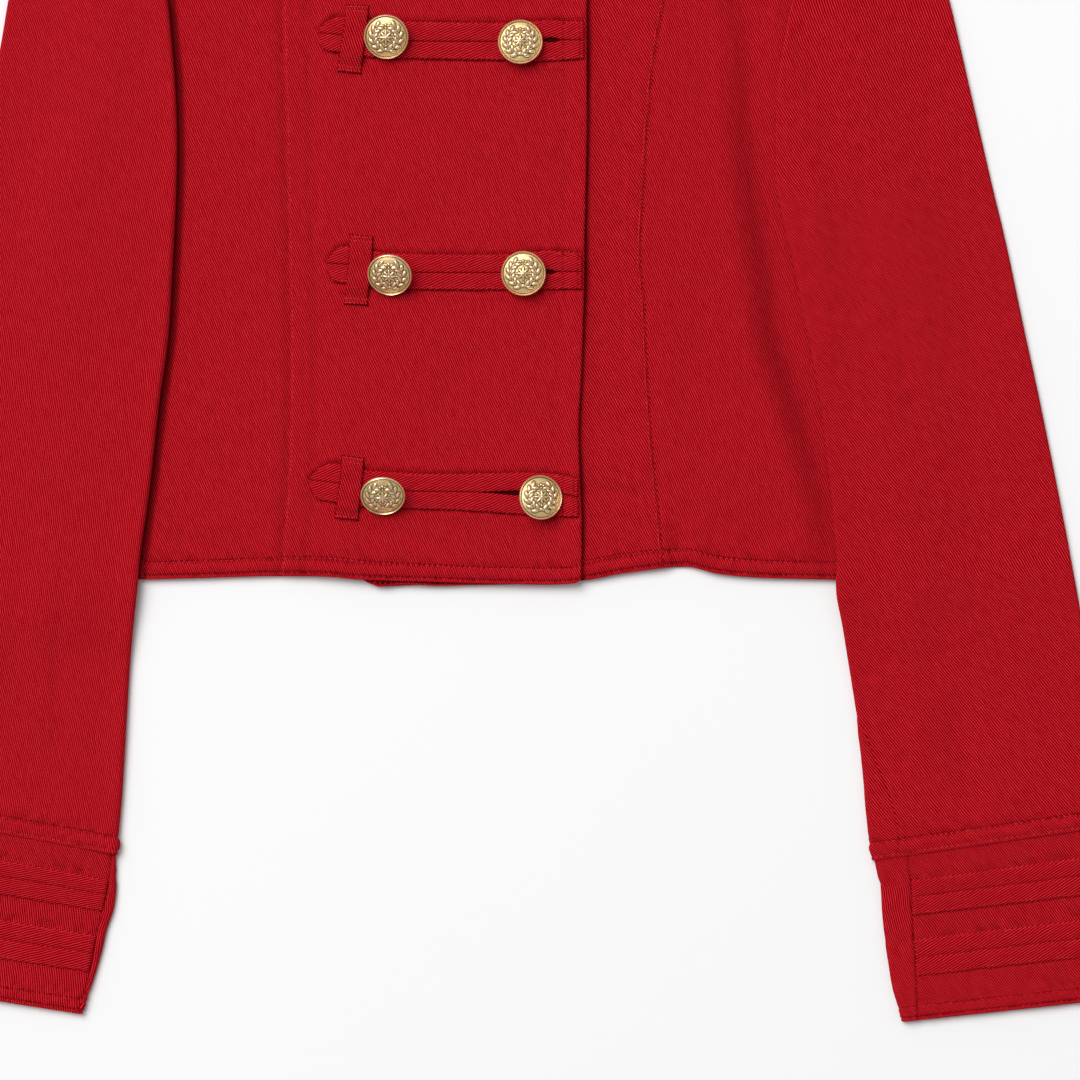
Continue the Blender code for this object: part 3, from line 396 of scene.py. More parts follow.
body = {
    "sideRight": [(-197, -205.5), (-195.3, -160), (-193.5, -113), (-190.5, -60), (-187, -20), (-180, 12),
                  (-171, 46), (-164.5, 78), (-162.5, 100)],
    "armholeRight": [(-162.5, 100), (-163, 108), (-168.2, 123), (-175.7, 138), (-184.2, 148.8),
                     (-195.7, 159.7)],
    "sideLeft": [(199, -206), (196.5, -160), (194, -113), (191.5, -60), (188.5, -20), (182.5, 12), (175, 46),
                 (169.5, 78), (167.5, 100)],
    "armholeLeft": [(167.5, 100), (168, 108), (171.2, 123), (176.2, 138), (184.2, 148.8), (195.7, 159.7)],
    "seamRight": [(-99.9, -203.8), (-99.4, -193), (-95.8, -139), (-95.3, -77), (-96.8, -10), (-97.9, 41),
                  (-98.9, 62), (-99.9, 92.7), (-104.5, 118.5), (-115.9, 154.5), (-127.2, 187.7)],
    "seamLeft": [(97.3, -199.8), (96.8, -192.6), (94.6, -167.9), (91.7, -138.5), (89.1, -98), (87.5, -62),
                 (85.5, -41), (87, -10), (89.1, 26), (92.7, 62), (98.4, 92.7), (107.6, 128.8),
                 (117.4, 159.7), (127.2, 187.7)],
    "edgeRight": [(54.6, -207.4), (55.1, -185), (54.1, -154.5), (53.3, -129), (54.6, -103), (56.1, -62),
                  (56.6, -26), (57.7, 26), (57.7, 92.7), (59, 129.8)],
    "edgeLeft": [(-57, -206.3), (-58, -150), (-58.5, 0), (-59, 92), (-59, 129.8)],
    "hemRight": [(-197, -205.5), (-172, -205.7), (-141.6, -205), (-118.5, -204.3), (-99.9, -203.8),
                 (-74.7, -204.4), (-57.7, -205.9), (-19.6, -207), (2.6, -207.8), (39, -208.4),
                 (54.6, -207.4)],
    "hemLeft": [(-57, -206.3), (-51.5, -209), (-46.5, -209.5), (-37.9, -208.2), (-19.6, -209),
                (-2.6, -208.6), (30, -208), (56.4, -206.2), (75.3, -202.8), (97.3, -199.8), (104.2, -199.3),
                (112.1, -199.5), (126.2, -203), (150.4, -205), (199, -206)],
    "hemBack": [(-197, -203.5), (-100, -202), (0, -203.5), (66, -200.5), (88, -190), (108, -186),
                (128, -190), (150, -201), (199, -204)],
    "neckHalf": 82.4, "neckTop": 206, "neckFrontDrop": 77.2, "neckBackDrop": 7.7,
    "shoulderTip": (195.7, 159.7), "seamMeets": (127.2, 187.7),
    "shownHeight": 326, "pitch": 1.6, "hiddenPitch": 4.5, "finePitch": 0.7, "columnPitch": 1.05,
    "tapeBands": [(23, 64), (127, 190), (237, 318)], "cornerRadius": 3.2,
}
curves = {name: curveThrough(body[name]) for name in
          ("sideRight", "sideLeft", "seamRight", "seamLeft", "edgeRight", "edgeLeft", "hemRight", "hemLeft",
           "hemBack")}
underarm = {"Right": [(-164.5, 101.5), (-164.8, 106)], "Left": [(170, 101.5), (170.4, 106)]}
for side, bulge in underarm.items():
    curves["whole" + side] = np.vstack([curves["side" + side], bulge, body["armhole" + side][1:]])

# y, x of the valley beside the left sleeve, x of the sleeve's edge, rise of the cloth between them
leftValley = np.array([
    (-206, 181.5, 185.8, 0.2), (-172, 179, 184.4, 0.3), (-142, 171, 179.9, 0.6),
    (-110, 161, 176.4, 1), (-80, 151.4, 170.8, 1.3), (-50, 148.3, 164.3, 1.4),
    (-20.6, 143.7, 157.9, 1.4), (4.1, 140.6, 154.8, 1.4), (37.6, 137.7, 154.5, 1.4),
    (70, 138.6, 158.5, 1.3), (92.7, 134, 163.3, 0.9), (130, 136, 168, 0)])


def lineX(name, y):
    return readCurve(curves[name], y, 1, 0)


def lineY(name, x):
    return readCurve(curves[name], x)


def valleyX(y, column=1):
    return np.interp(y, leftValley[:, 0], leftValley[:, column])


def ripple(x, y):
    return 0.2 * np.sin(x / 31.0 + 0.6) * np.cos(y / 47.0) + 0.15 * np.sin((x + y) / 23.0)


def valleyRise(x, y):
    valley, edge, rise = valleyX(y), valleyX(y, 2), valleyX(y, 3)
    side = lineX("sideLeft", y)
    dip = -0.25 * bell((x - valley) / 7.0) * smooth(rise)
    return dip + rise * smooth((x - valley) / (edge - valley)) * smooth((side - x) / 14.0)


def lowerFront(x, y):
    drop = 1.5 * bell((x - 108.0) / 9.0) * smooth((-192.0 - y) / 7.0)
    return cloth["frontRest"] + ripple(x, y) + valleyRise(x, y) - drop


def upperFront(x, y):
    return cloth["frontRest"] + ripple(x, y) + (cloth["wall"] + cloth["lapGap"]) * smooth((x + 97.0) / 29.0)


# lines of the front tapes: x, y of the upper edge, of the slit and of the lower edge

tapeNames = ("top", "middle", "bottom")
frontTapes = {
    "top": {"stations": [(56, 80.9, 71.2, 61.8), (35, 81.4, 71.4, 60.6), (11.3, 80.3, 70.6, 61),
                         (-33.5, 80.9, 70.8, 61.8), (-54, 82, 72.2, 62.8), (-67.5, 83.2, 74, 64.9)],
            "tip": (-80.6, 75), "opening": (45.5, 40.5, 1.1),
            "tab": [(-65.9, 89.1), (-54.6, 88.6), (-58.2, 54.3), (-70, 55.5)]},
    "middle": {"stations": [(55, -38.1, -47.8, -56.6), (36.6, -36.9, -47.7, -56.6),
                            (12.9, -38.6, -48.1, -57), (-33, -38.5, -48, -56.7), (-52, -36.9, -46.3, -55.6),
                            (-64.7, -34.5, -44, -53.6)],
               "tip": (-76.2, -43.2), "opening": (43.5, 39, 1),
               "tab": [(-63.9, -28.8), (-52.5, -29.9), (-54.9, -64.7), (-66.1, -64.1)]},
    "bottom": {"stations": [(53, -154, -163.6, -173.6), (41.2, -151.6, -162.2, -173.2),
                            (24.7, -150.9, -161.4, -172.3), (-5.7, -151.4, -160.7, -170.2),
                            (-31.9, -151.1, -160.4, -169.4), (-57, -149.4, -158.8, -168.4),
                            (-70, -146.3, -156.2, -166.3)],
               "tip": (-85, -154.5), "opening": (-1.5, 23.5, 1.15),
               "tab": [(-68, -142.1), (-57.2, -143.7), (-59.7, -175.1), (-71.1, -174.1)]},
    "wall": 1.3, "slit": 0.10, "gap": 0.1, "pitch": 0.8, "width": 19.5, "filled": 0.93,
    "edgeDrop": 0.75, "edgeRadius": 0.9, "tabEdgeRadius": 0.8,
}


def stationAt(row, x, column):
    stations = curveThrough(row["stations"], 8)
    return readCurve(stations, x, 0, column)


def tapeOutline(row, x):
    # upper edge, slit and lower edge at x, with the rounded end of the leaf, and the share of the leaf passed
    endX, tipX, tipY = row["stations"][-1][0], *row["tip"]
    share = np.clip((endX - x) / (endX - tipX), 0, 1)
    upper, middle, lower = (stationAt(row, np.maximum(x, endX), column) for column in (1, 2, 3))
    up = (upper - middle) * np.maximum((1 - share ** 2.2) ** 0.8, 0.06)
    down = (lower - middle) * np.maximum((1 - share ** 6) ** 0.7, 0.06)
    middle = middle + (tipY - middle) * share
    return middle + up, middle, middle + down, share


def tapeSurround(x, y):
    # the cloth dips along the sewn edges of a tape and puckers beside them
    total = np.zeros_like(x)
    for name in tapeNames:
        row = frontTapes[name]
        startX, tipX = row["stations"][0][0], row["tip"][0]
        upper, _, lower, _ = tapeOutline(row, np.clip(x, tipX, startX))
        window = smooth((x - tipX + 2.5) / 2.5) * smooth((startX + 2.5 - x) / 2.5)
        for away, deep, shift in ((y - upper, 0.75, 0), (lower - y, 0.5, 5)):
            beside = smooth((away + 0.9) / 0.6)
            dip = deep * bell((away - 0.5) / 0.9) * (0.8 + 0.5 * uneven(x, 0 * y, 3.0, 3 + shift))
            puff = 0.40 * bell((away - 3.5) / 1.7) * (0.7 + 0.8 * uneven(x, y, 4.0, 6 + shift))
            puckers = 0.42 * uneven(x + 0.4 * y, 0.45 * y, 2.3, 9 + shift) * bell((away - 2.0) / 1.8)
            total += window * beside * (puff + puckers - dip)
    return total


# fine form of the body: hem and seam allowances, rows of stitches, soft creases

bodyRelief = {
    "allowance": 0.80, "groove": 0.80, "pucker": 0.55, "ridgeRight": (10.5, 0.50), "ridgeLeft": (10.0, 0.42),
    "creasesRight": [(-17, 48, 25, -18, 4.5, -0.5), (-14, 4, -10, -34, 11, -0.3),
                     (9, -80, -24, -131, 6, -0.5), (-60, -80, -30, -150, 14, 0.3),
                     (-170, -180, -102, -187, 6, -0.6), (-150, 60, -120, -60, 16, 0.4),
                     (-130, -60, -150, -170, 14, -0.4), (-68, -176, -6, -184, 5, -0.5),
                     (20, 40, 44, -20, 9, 0.3), (10, -100, 46, -140, 8, 0.3), (-80, 20, -60, -30, 9, 0.3),
                     (-134, -132, -120, -156, 5, -0.5), (38, -178, 54, -198, 4, 0.4)],
    "creasesLeft": [(54, -157, 100, -160, 4, -0.8), (56, -112, 98, -116, 9, -0.4),
                    (103, -172, 105, -204, 4, -1.3), (113, -172, 118, -204, 6, 0.9),
                    (118, -166, 150, -190, 7, -0.5), (58, -136, 98, -140, 7, 0.5),
                    (115, -150, 150, -186, 8, 0.4), (112, -40, 124, -150, 12, -0.4),
                    (110, 80, 122, -30, 13, 0.4), (128, -120, 168, -190, 7, -0.3), (62, 60, 80, -20, 8, 0.3),
                    (90, -178, 100, -204, 3, 0.3)],
}


def hemRelief(x, d, edgeRow=1.0):
    look = bodyRelief
    wavy = uneven(x + d * 0.7, d * 0.9, 3.1) * smooth(d / 1.2) * (1 - smooth((d - 11) / 7))
    folded = look["allowance"] * (1 - smooth((d - 8.0) / 2.4))
    rows = edgeRow * bell((d - hemRow["lower"]) / 0.8) + 1.2 * bell((d - hemRow["upper"]) / 1.0)
    puff = 0.34 * np.sin(np.pi * np.clip((d - 2.2) / 5.8, 0, 1))
    knots = 0.32 * np.sin(x * 2.24 + 1.2 * uneven(x, 0 * x, 9.0, 3)) * bell((d - 7.9) / 1.3)
    return folded - look["groove"] * rows + puff + look["pucker"] * wavy + knots


def seamRelief(x, y, seam, ridge, side):
    # side is 1 where the allowance lies at larger x
    width, height = ridge
    off = (x - lineX(seam, y)) * side
    lifted = height * smooth(off / 1.2) * (1 - smooth((off - width + 1.5) / 2.6))
    dent = 0.34 * bell(off / 1.8) + 0.18 * bell((off - 1.9) / 0.6) * (off > 0)
    small = 0.32 * uneven(off, y, 2.6, 2) * bell(off / 4.0)
    wide = 0.22 * uneven(x, y, 5.0, 4) * bell((off - width) / 3)
    return lifted - dent + small + wide


def rightRelief(x, y):
    d = y - lineY("hemRight", x)
    edge = lineX("edgeRight", y) - x
    roll = 1 - np.clip(edge / 2.2, 0, 1)
    folded = 1.25 * (1 - smooth((edge - 2.0) / 11.0)) - 0.85 * (1 - np.sqrt(1 - roll ** 2))
    folded = folded + 0.14 * uneven(0.5 * x, y, 4.0, 8) * (1 - smooth(edge / 7.0))
    slow = 0.16 * uneven(x, y, 17, 1) + 0.05 * uneven(x, y, 6, 4)
    seam = seamRelief(x, y, "seamRight", bodyRelief["ridgeRight"], 1)
    return hemRelief(x, d) + seam + folded + slow + creaseHeight(x, y, bodyRelief["creasesRight"])


def leftRelief(x, y):
    d = y - lineY("hemLeft", x)
    slow = 0.16 * uneven(x, y, 17, 3) + 0.05 * uneven(x, y, 6, 5)
    seam = seamRelief(x, y, "seamLeft", bodyRelief["ridgeLeft"], -1)
    valley = valleyX(y)
    dip = (0.9 * bell((x - valley + 11) / 7.0) - 0.9 * bell((x - valley - 2) / 5.5)) * smooth((y + 215) / 60)
    trench = 0.7 * bell((x - lineX("edgeRight", y) - 0.8) / 1.7)
    return hemRelief(x, d) + seam + slow + dip - trench + creaseHeight(x, y, bodyRelief["creasesLeft"])


def backRelief(x, y):
    return hemRelief(x, y - lineY("hemBack", x)) + 0.2 * uneven(x, y, 23, 6)


def rightTop(x, y):
    return upperFront(x, y) + cloth["wall"] + rightRelief(x, y)


def hemPart(name, low, high):
    def at(share):
        x = low + (high - low) * share
        return np.column_stack([x, lineY(name, x)])
    return at


def chain(stops):
    stops = np.array(stops)     # share, x, y
    return lambda share: np.column_stack([np.interp(share, stops[:, 0], stops[:, k]) for k in (1, 2)])


def edgePart(name, shift=0.0):
    curve = curves[name]
    low, high = curve[:, 1].min(), curve[:, 1].max()

    def at(share):
        y = low + (high - low) * share
        return np.column_stack([readCurve(curve, y, 1, 0) + shift, y])
    return at


def neckFront(start, stop, count, shareFrom, shareTo):
    angles = np.radians(np.linspace(start, stop, count))
    x = body["neckHalf"] * np.sin(angles)
    y = body["neckTop"] - body["neckFrontDrop"] * np.cos(angles)
    return list(zip(np.linspace(shareFrom, shareTo, count), x, y))


def panelGrid(bottom, top, sideA, sideB, columns, rows):
    across, up = columns / columns[-1], rows / rows[-1]
    low, high, a, b = bottom(across), top(across), sideA(up), sideB(up)
    u, v = up[:, None, None], across[None, :, None]
    grid = low[None] * (1 - u) + high[None] * u + a[:, None] * (1 - v) + b[:, None] * v
    corners = (low[0] * (1 - v) + low[-1] * v) * (1 - u) + (high[0] * (1 - v) + high[-1] * v) * u
    return grid - corners


def bodyRows(total, bands=()):
    # distances of the rows from the hem, closer together in the bands where the tapes lie
    rows = [np.array(hemSteps)]
    for low, high in bands:
        start = rows[-1][-1]
        rows.append(np.linspace(start, low, int((low - start) / body["pitch"]) + 2)[1:])
        rows.append(np.linspace(low, high, int((high - low) / body["finePitch"]) + 2)[1:])
    start, shown = rows[-1][-1], body["shownHeight"]
    rows.append(np.linspace(start, shown, int((shown - start) / body["pitch"]) + 2)[1:])
    rest = spaced(total - shown, [0], plainSteps, body["hiddenPitch"])
    return np.concatenate(rows + [rest[1:] + shown])


def roundCorner(grid, rows, columns):
    # the corner of the first row and the last column, rounded, beside an edge that sways a little
    radius = body["cornerRadius"]
    p = np.clip(1 - (columns[-1] - columns) / radius, 0, 1)[None, :]
    q = np.clip(1 - rows / radius, 0, 1)[:, None]
    both = (p > 0) & (q > 0)
    pull = np.where(both, np.maximum(p, q) / np.maximum(np.hypot(p, q), 1e-6) - 1, 0.0)
    nearEdge = 1 - smooth((columns[-1] - columns) / 9.0)
    sway = 0.3 * uneven(0 * grid[..., 1], grid[..., 1], 7.0, 2) * nearEdge
    return grid + np.dstack([p * pull * radius + sway, -q * pull * radius])


# sleeves and cuffs are flattened tubes; each row: x, y of its inner and its outer end
# starts, and a cuff row's last value: where the upper piece begins, as a distance over the top

tube = {"tucked": -7.0, "wrap": 3.0, "runSteps": 48, "narrow": 40, "edge": 8.0, "short": 60.0, "shown": 440.0,
        "held": 14.0, "underFall": 22.0, "topFall": 52.0, "hemY": -205.5, "hemHeld": 8.0, "hemFall": 34.0}
# held and fall: how far past the front's edge the sleeve still lies high, and in what length it comes down
sleeves = {
    "right": {"sign": -1, "flatHeight": 3.5, "edgePuff": 1.6,
              "material": rightSleeveTwill, "cuff": rightCuffTwill,
              "cap": [(-199.2, 159.3), (-208, 153), (-217, 144), (-225.5, 130), (-233, 113)],
              "rows": [(-163.2, 100, -237, 101), (-157.8, 92, -240, 92.7), (-155.5, 70, -243.7, 71),
                       (-153.6, 46, -248.2, 48), (-152.7, 20, -253.4, 23), (-153.2, -8, -259.1, -4),
                       (-154.8, -40, -265.5, -34), (-157.3, -82, -273.9, -74), (-161.9, -115, -280.3, -106),
                       (-166.6, -157, -287.9, -146), (-171.5, -192, -293.9, -179),
                       (-173.3, -212, -296.5, -198), (-175.4, -230, -298.5, -214.5),
                       (-177.5, -252, -300.7, -235), (-179.5, -286, -302.8, -267),
                       (-181.5, -318, -303.3, -297), (-184.2, -347.2, -303.9, -325.2)],
              "starts": {},
              "creases": [(-222, -150, -238, -300, 9, -0.6), (-200, 40, -212, -80, 16, 0.5),
                          (-210, -190, -212, -312, 4, -0.6), (-240, -40, -262, -190, 14, 0.35),
                          (-180, -60, -176, -200, 10, 0.35), (-196, -250, -206, -330, 8, 0.35),
                          (-262, -270, -240, -330, 10, -0.3), (-168, 60, -190, -10, 9, -0.25),
                          (-214, -120, -190, -180, 10, 0.25)]},
    "left": {"sign": 1, "flatHeight": 3.3, "edgePuff": 0, "material": leftSleeveTwill, "cuff": leftCuffTwill,
             "cap": [(199.2, 159.3), (210, 152.3), (220, 142), (228, 129.5), (235, 114.5)],
             "rows": [(168.2, 100, 240, 103), (163.3, 92.7, 244, 92.7), (158.5, 70, 249.2, 71),
                      (155, 46, 254.4, 48), (154.3, 20, 260.3, 22.5), (155.2, -8, 266.4, -4),
                      (162.3, -40, 273.8, -35), (171.1, -82, 282.4, -76), (177.2, -115, 289.4, -108),
                      (182.3, -157, 297.7, -148.5), (185.6, -192, 304.3, -182), (185.6, -212, 307.8, -201),
                      (189, -230, 311, -218.5), (192.7, -252, 314.3, -239.5), (194.6, -264, 316.2, -251),
                      (195.5, -270, 317, -256.8), (196.2, -275, 317.6, -261.6), (196.5, -277.6, 317.9, -264),
                      (196.7, -280, 318.2, -266.4), (197.2, -286, 318.8, -272), (199.3, -304, 320.5, -289),
                      (200.6, -320, 321.9, -304), (202.3, -336, 323.2, -319), (205, -350.2, 324.4, -333)],
             # the lower end of the sleeve's inner seam comes round to the top
             "starts": {14: -5.5, 15: -3, 16: -0.6, 17: 0.6, 18: 1.8, 19: 5, 20: 9.6, 21: 14.2, 22: 16.2,
                        23: 13.2},
             "creases": [(200, 44, 210, -124, 8, -0.5), (176, 70, 182, -60, 9, 0.4),
                         (222, 30, 246, -160, 15, 0.4), (244, -262, 262, -326, 10, -1.2),
                         (226, -190, 236, -320, 9, 0.7), (214, -40, 232, -150, 6, -0.8),
                         (206, -150, 214, -262, 10, -0.3), (276, -150, 292, -260, 11, 0.3),
                         (190, -100, 204, -150, 8, 0.25), (270, 20, 262, -90, 14, -0.3)]},
}
cuffs = {
    "flatHeight": 3.4, "tuck": 0.22,     # tuck: how far the cuff reaches up inside the sleeve's hem
    "right": {"sign": -1,
              "rows": [(-184.6, -347.8, -303.9, -325.8, 3.2), (-184.3, -362, -306, -340, 5.2),
                       (-185.6, -374, -308.3, -353, 6.1), (-189.8, -388, -310.8, -368, 5.4),
                       (-193.2, -402, -313.3, -383, 4.8), (-197.6, -416, -315.8, -398, 3.4),
                       (-202.6, -429.2, -317.8, -411, 3.2)]},
    "left": {"sign": 1,
             "rows": [(205.6, -350.8, 324.5, -333.6, 18.1), (208.5, -364, 326.8, -348, 16.8),
                      (209.3, -377, 328.8, -362.5, 16.5), (210.8, -391, 330.6, -377, 15.9),
                      (213, -405, 332.4, -391.5, 14.7), (215.7, -419, 334, -406, 12.6),
                      (220.2, -433.2, 335.3, -420.8, 8.5)]},
}


# painted shade: dark bands where one layer lies behind another

def sleeveShade(x, y):
    # painted shadow on the front where it lies deep beside the edge of the right sleeve
    edge = np.array([row[:2] for row in sleeves["right"]["rows"]])
    off = x - readCurve(edge, y, 1, 0)
    beside = smooth((off + 5.0) / 2.0) * (1 - smooth((off - 2.6) / 2.6))
    return 0.82 * beside * (1 - smooth((y - 94) / 16))


def seamShade(x, y):
    # painted shade: soft dark strips on both sides of the right seam's allowance
    off = x - lineX("seamRight", y)
    return 0.16 * bell((off + 2.2) / 2.2) + 0.10 * bell((off - 12.5) / 1.6) + 0.05 * bell((off - 5.5) / 3.0)


def lapShade(x, y):
    # painted shadow where the lower front lies deep beside the edge of the upper one and behind its hem
    off = x - lineX("edgeRight", y)
    near = sum(bell((y - row) / 20.0) for row in (71.0, -47.0, -160.0))
    beside = (0.50 + 0.26 * near) * smooth((off + 2.5) / 1.5) * (1 - smooth((off - 0.4 - 0.6 * near) / 3.2))
    beside = np.maximum(beside, 0.2 * (off > -2) * (1 - smooth(off / 9.0)))
    behind = 0.9 * (off < 0) * smooth((y - lineY("hemLeft", x) - 0.7) / 0.7)
    return np.maximum(beside, behind)


def valleyShade(x, y):
    # painted shade along the valley beside the left sleeve
    strength = np.interp(y, (-206, -165, -125, -90, -30, 30, 62, 95),
                         (0.14, 0.21, 0.30, 0.34, 0.31, 0.22, 0.10, 0.06))
    return strength * bell((x - valleyX(y) + 0.4) / 9.0)


def bodyPanel(name, node, edges, columns, rows, under, relief, free, restsOn=("backPanel",),
              material=bodyTwill, finish=None, shade=None):
    grid = panelGrid(*edges, columns, rows)
    grid = finish(grid, rows, columns) if finish else grid
    x, y = grid[..., 0], grid[..., 1]
    drop = rimDrop(edgeDistance(rows, columns, free))
    below, lift = under(x, y), relief(x, y)
    outside = np.dstack([x, y, below + cloth["wall"] + lift - drop])
    inside = np.dstack([x, y, below + drop + np.minimum(lift + 0.5, 0.0)])
    # painted shade from the creases, plus the painted dark bands of this panel
    hollow = hollows(lift, rows, columns) + (shade(x, y) if shade else 0)
    clothShell(name, node, list(restsOn), outside, inside, grid, material, rows, columns, hollow)


def buildBody():
    half, pitch = cloth["seam"] / 2, body["columnPitch"]
    tip, meet = body["shoulderTip"], body["seamMeets"]
    lapRight, lapLeft = (1.0, *body["edgeRight"][-1]), (0.0, *body["edgeLeft"][-1])
    (right, _), (left, _) = body["seamRight"][0], body["seamLeft"][0]
    shares = np.linspace(0, 1, 21)
    backNeck = zip(0.3 + 0.4 * shares, body["neckHalf"] * (2 * shares - 1),
                   body["neckTop"] - body["neckBackDrop"] * np.cos(np.pi * (shares - 0.5)))
    top = chain([(0.0, -tip[0], tip[1]), *backNeck, (1.0, *tip)])
    bodyPanel("backPanel", "back",
              (hemPart("hemBack", -197, 199), top, edgePart("wholeRight"), edgePart("wholeLeft")),
              spaced(396, plainSteps, plainSteps, 5.0), spaced(363, hemSteps, plainSteps, 5.0),
              lambda x, y: 0 * x, backRelief, (True, True, True, True), ["floor"])

    top = chain([(0, -tip[0], tip[1]), (1, -meet[0] - half, meet[1])])
    bodyPanel("rightSideFront", "front_side_right",
              (hemPart("hemRight", -197, right - half), top, edgePart("wholeRight"),
               edgePart("seamRight", -half)),
              spaced(97, plainSteps, seamSteps, pitch), bodyRows(378), upperFront, rightRelief,
              (True, True, True, False), shade=lambda x, y: np.maximum(sleeveShade(x, y), seamShade(x, y)))

    top = chain([(0.0, -meet[0] + half, meet[1])] + neckFront(-90, 0, 19, 0.2, 0.8) + [lapRight])
    bodyPanel("rightCentreFront", "front_centre_right",
              (hemPart("hemRight", right + half, 54.6), top, edgePart("seamRight", half),
               edgePart("edgeRight")),
              spaced(154, seamSteps, seamSteps, pitch), bodyRows(365, body["tapeBands"]), upperFront,
              lambda x, y: rightRelief(x, y) + tapeSurround(x, y), (True, True, False, True),
              ["leftCentreFront", "backPanel"], finish=roundCorner, shade=seamShade)

    top = chain([lapLeft] + neckFront(0, 90, 19, 0.2, 0.8) + [(1.0, meet[0] - half, meet[1])])
    columns = np.concatenate([spaced(102, plainSteps, [0], 5.0), 102 + spaced(52, [0], seamSteps, 1.0)[1:]])
    bodyPanel("leftCentreFront", "front_centre_left",
              (hemPart("hemLeft", -57, left - half), top, edgePart("edgeLeft"), edgePart("seamLeft", -half)),
              columns, bodyRows(365), lowerFront, leftRelief, (True, True, True, False),
              material=lowerFrontTwill, shade=lapShade)

    top = chain([(0, meet[0] + half, meet[1]), (1, *tip)])
    bodyPanel("leftSideFront", "front_side_left",
              (hemPart("hemLeft", left + half, 199), top, edgePart("seamLeft", half), edgePart("wholeLeft")),
              spaced(102, seamSteps, plainSteps, pitch), bodyRows(378), lowerFront, leftRelief,
              (True, True, False, True), shade=valleyShade)


buildBody()
print("body panels made")


# the stand collar, outside the photographed part

collar = {"height": 35.0, "half": 80.3, "fold": 1.5, "frontRest": 2.6, "pitch": 2.4}


def collarBase():
    middle = cloth["wall"] / 2
    foldTop = middle + 2 * collar["fold"]
    clearY = body["neckTop"] + 0.4
    drop = body["neckFrontDrop"] - 0.6
    points = []
    for side in (-1, 1):
        part = []
        for share in np.linspace(0, 1, 9):
            angle = math.radians(1.0 + 87.0 * share)
            lap = (cloth["wall"] + cloth["lapGap"]) * (1 - smooth(share * 1.5)) * (side < 0)
            rest = collar["frontRest"] + lap
            part.append((side * collar["half"] * math.sin(angle), clearY - drop * math.cos(angle),
                         rest + (foldTop - rest) * smooth(share), 7.0 + 13.0 * smooth(share)))
        for turn in (30, 90, 150):
            angle = math.radians(turn)
            part.append((side * (collar["half"] + collar["fold"] * math.sin(angle)), clearY,
                         middle + collar["fold"] + collar["fold"] * math.cos(angle), 20.0))
        points.append(part)
    across = []
    for x in np.linspace(-collar["half"], collar["half"], 13):
        y = body["neckTop"] - body["neckBackDrop"] * math.cos(math.pi * x / (2 * body["neckHalf"])) + 0.4
        across.append((x, y, middle, 20.0 * smooth((abs(x) - 20.0) / (collar["half"] - 20.0))))
    return points[0] + across + points[1][::-1]


def buildCollar():
    base = curveThrough(collarBase(), 8)
    lean = np.radians(base[:, 3])
    up = np.column_stack([0 * lean, np.cos(lean), np.sin(lean)])
    along = np.gradient(base[:, :3], axis=0)
    normal = np.cross(along, up)
    normal /= np.linalg.norm(normal, axis=1)[:, None]
    rows = spaced(collar["height"], plainSteps, plainSteps, collar["pitch"])
    columns = pathLengths(base[:, :3])
    middle = base[None, :, :3] + (rows[:, None, None] - 0.45) * up[None]
    half = (cloth["wall"] / 2 - rimDrop(edgeDistance(rows, columns)))[..., None]
    groove = 0.2 * bell((edgeDistance(rows, columns) - 3.0) / 0.6)[..., None]
    uv = np.dstack(np.meshgrid(columns, rows))
    clothShell("standCollar", "collar", ["backPanel"], middle + normal[None] * (half - groove),
               middle - normal[None] * half, uv, bodyTwill, rows, columns)


buildCollar()
print("collar made")


# the tubes of the sleeves and cuffs, cut open along their seams

def ringOutline(width, low, high, isOpen=False, steps=14):
    # outline of a flattened tube, from its inner edge over the top and back along the underside
    rollOut = float(high(width) - low(width)) / 2
    rollIn = 0.02 if isOpen else float(high(0.0) - low(0.0)) / 2
    points, normals = [], []

    def roll(centre, radius, start, stop, count):
        angle = np.radians(np.linspace(start, stop, count + 1))
        middle, rise = (low(centre) + high(centre)) / 2, (high(centre) - low(centre)) / 2
        points.append(np.column_stack([centre + radius * np.cos(angle), middle + rise * np.sin(angle)]))
        normals.append(np.column_stack([np.cos(angle) / radius, np.sin(angle) / rise]))

    def run(start, stop, height, facing):
        across = np.linspace(start, stop, tube["runSteps"] + 1)
        points.append(np.column_stack([across, height(across)]))
        normals.append(np.column_stack([0 * across, 0 * across + facing]))

    roll(rollIn, rollIn, 180, 90, steps)
    run(rollIn, width - rollOut, high, 1.0)
    roll(width - rollOut, rollOut, 90, -90, steps * 2)
    run(width - rollOut, rollIn, low, -1.0)
    roll(rollIn, rollIn, -90, -180, steps)
    outline, facing = np.vstack(points), np.vstack(normals)
    facing /= np.linalg.norm(facing, axis=1)[:, None]
    lengths = pathLengths(outline)
    middleOfOuter = 2 * steps + tube["runSteps"] + 2
    return {"points": outline, "normals": facing, "lengths": lengths, "quarter": lengths[steps],
            "outer": lengths[middleOfOuter], "total": lengths[-1]}


def ringAt(ring, distances, inner, outer):
    distances = np.mod(distances, ring["total"])
    place = [np.interp(distances, ring["lengths"], ring["points"][:, k]) for k in (0, 1)]
    facing = [np.interp(distances, ring["lengths"], ring["normals"][:, k]) for k in (0, 1)]
    across = (outer - inner) / np.linalg.norm(outer - inner)
    spot = inner[None] + place[0][:, None] * across[None]
    normal = np.column_stack([facing[0] * across[0], facing[0] * across[1], facing[1]])
    normal /= np.linalg.norm(normal, axis=1)[:, None]
    return np.column_stack([spot, place[1]]), normal


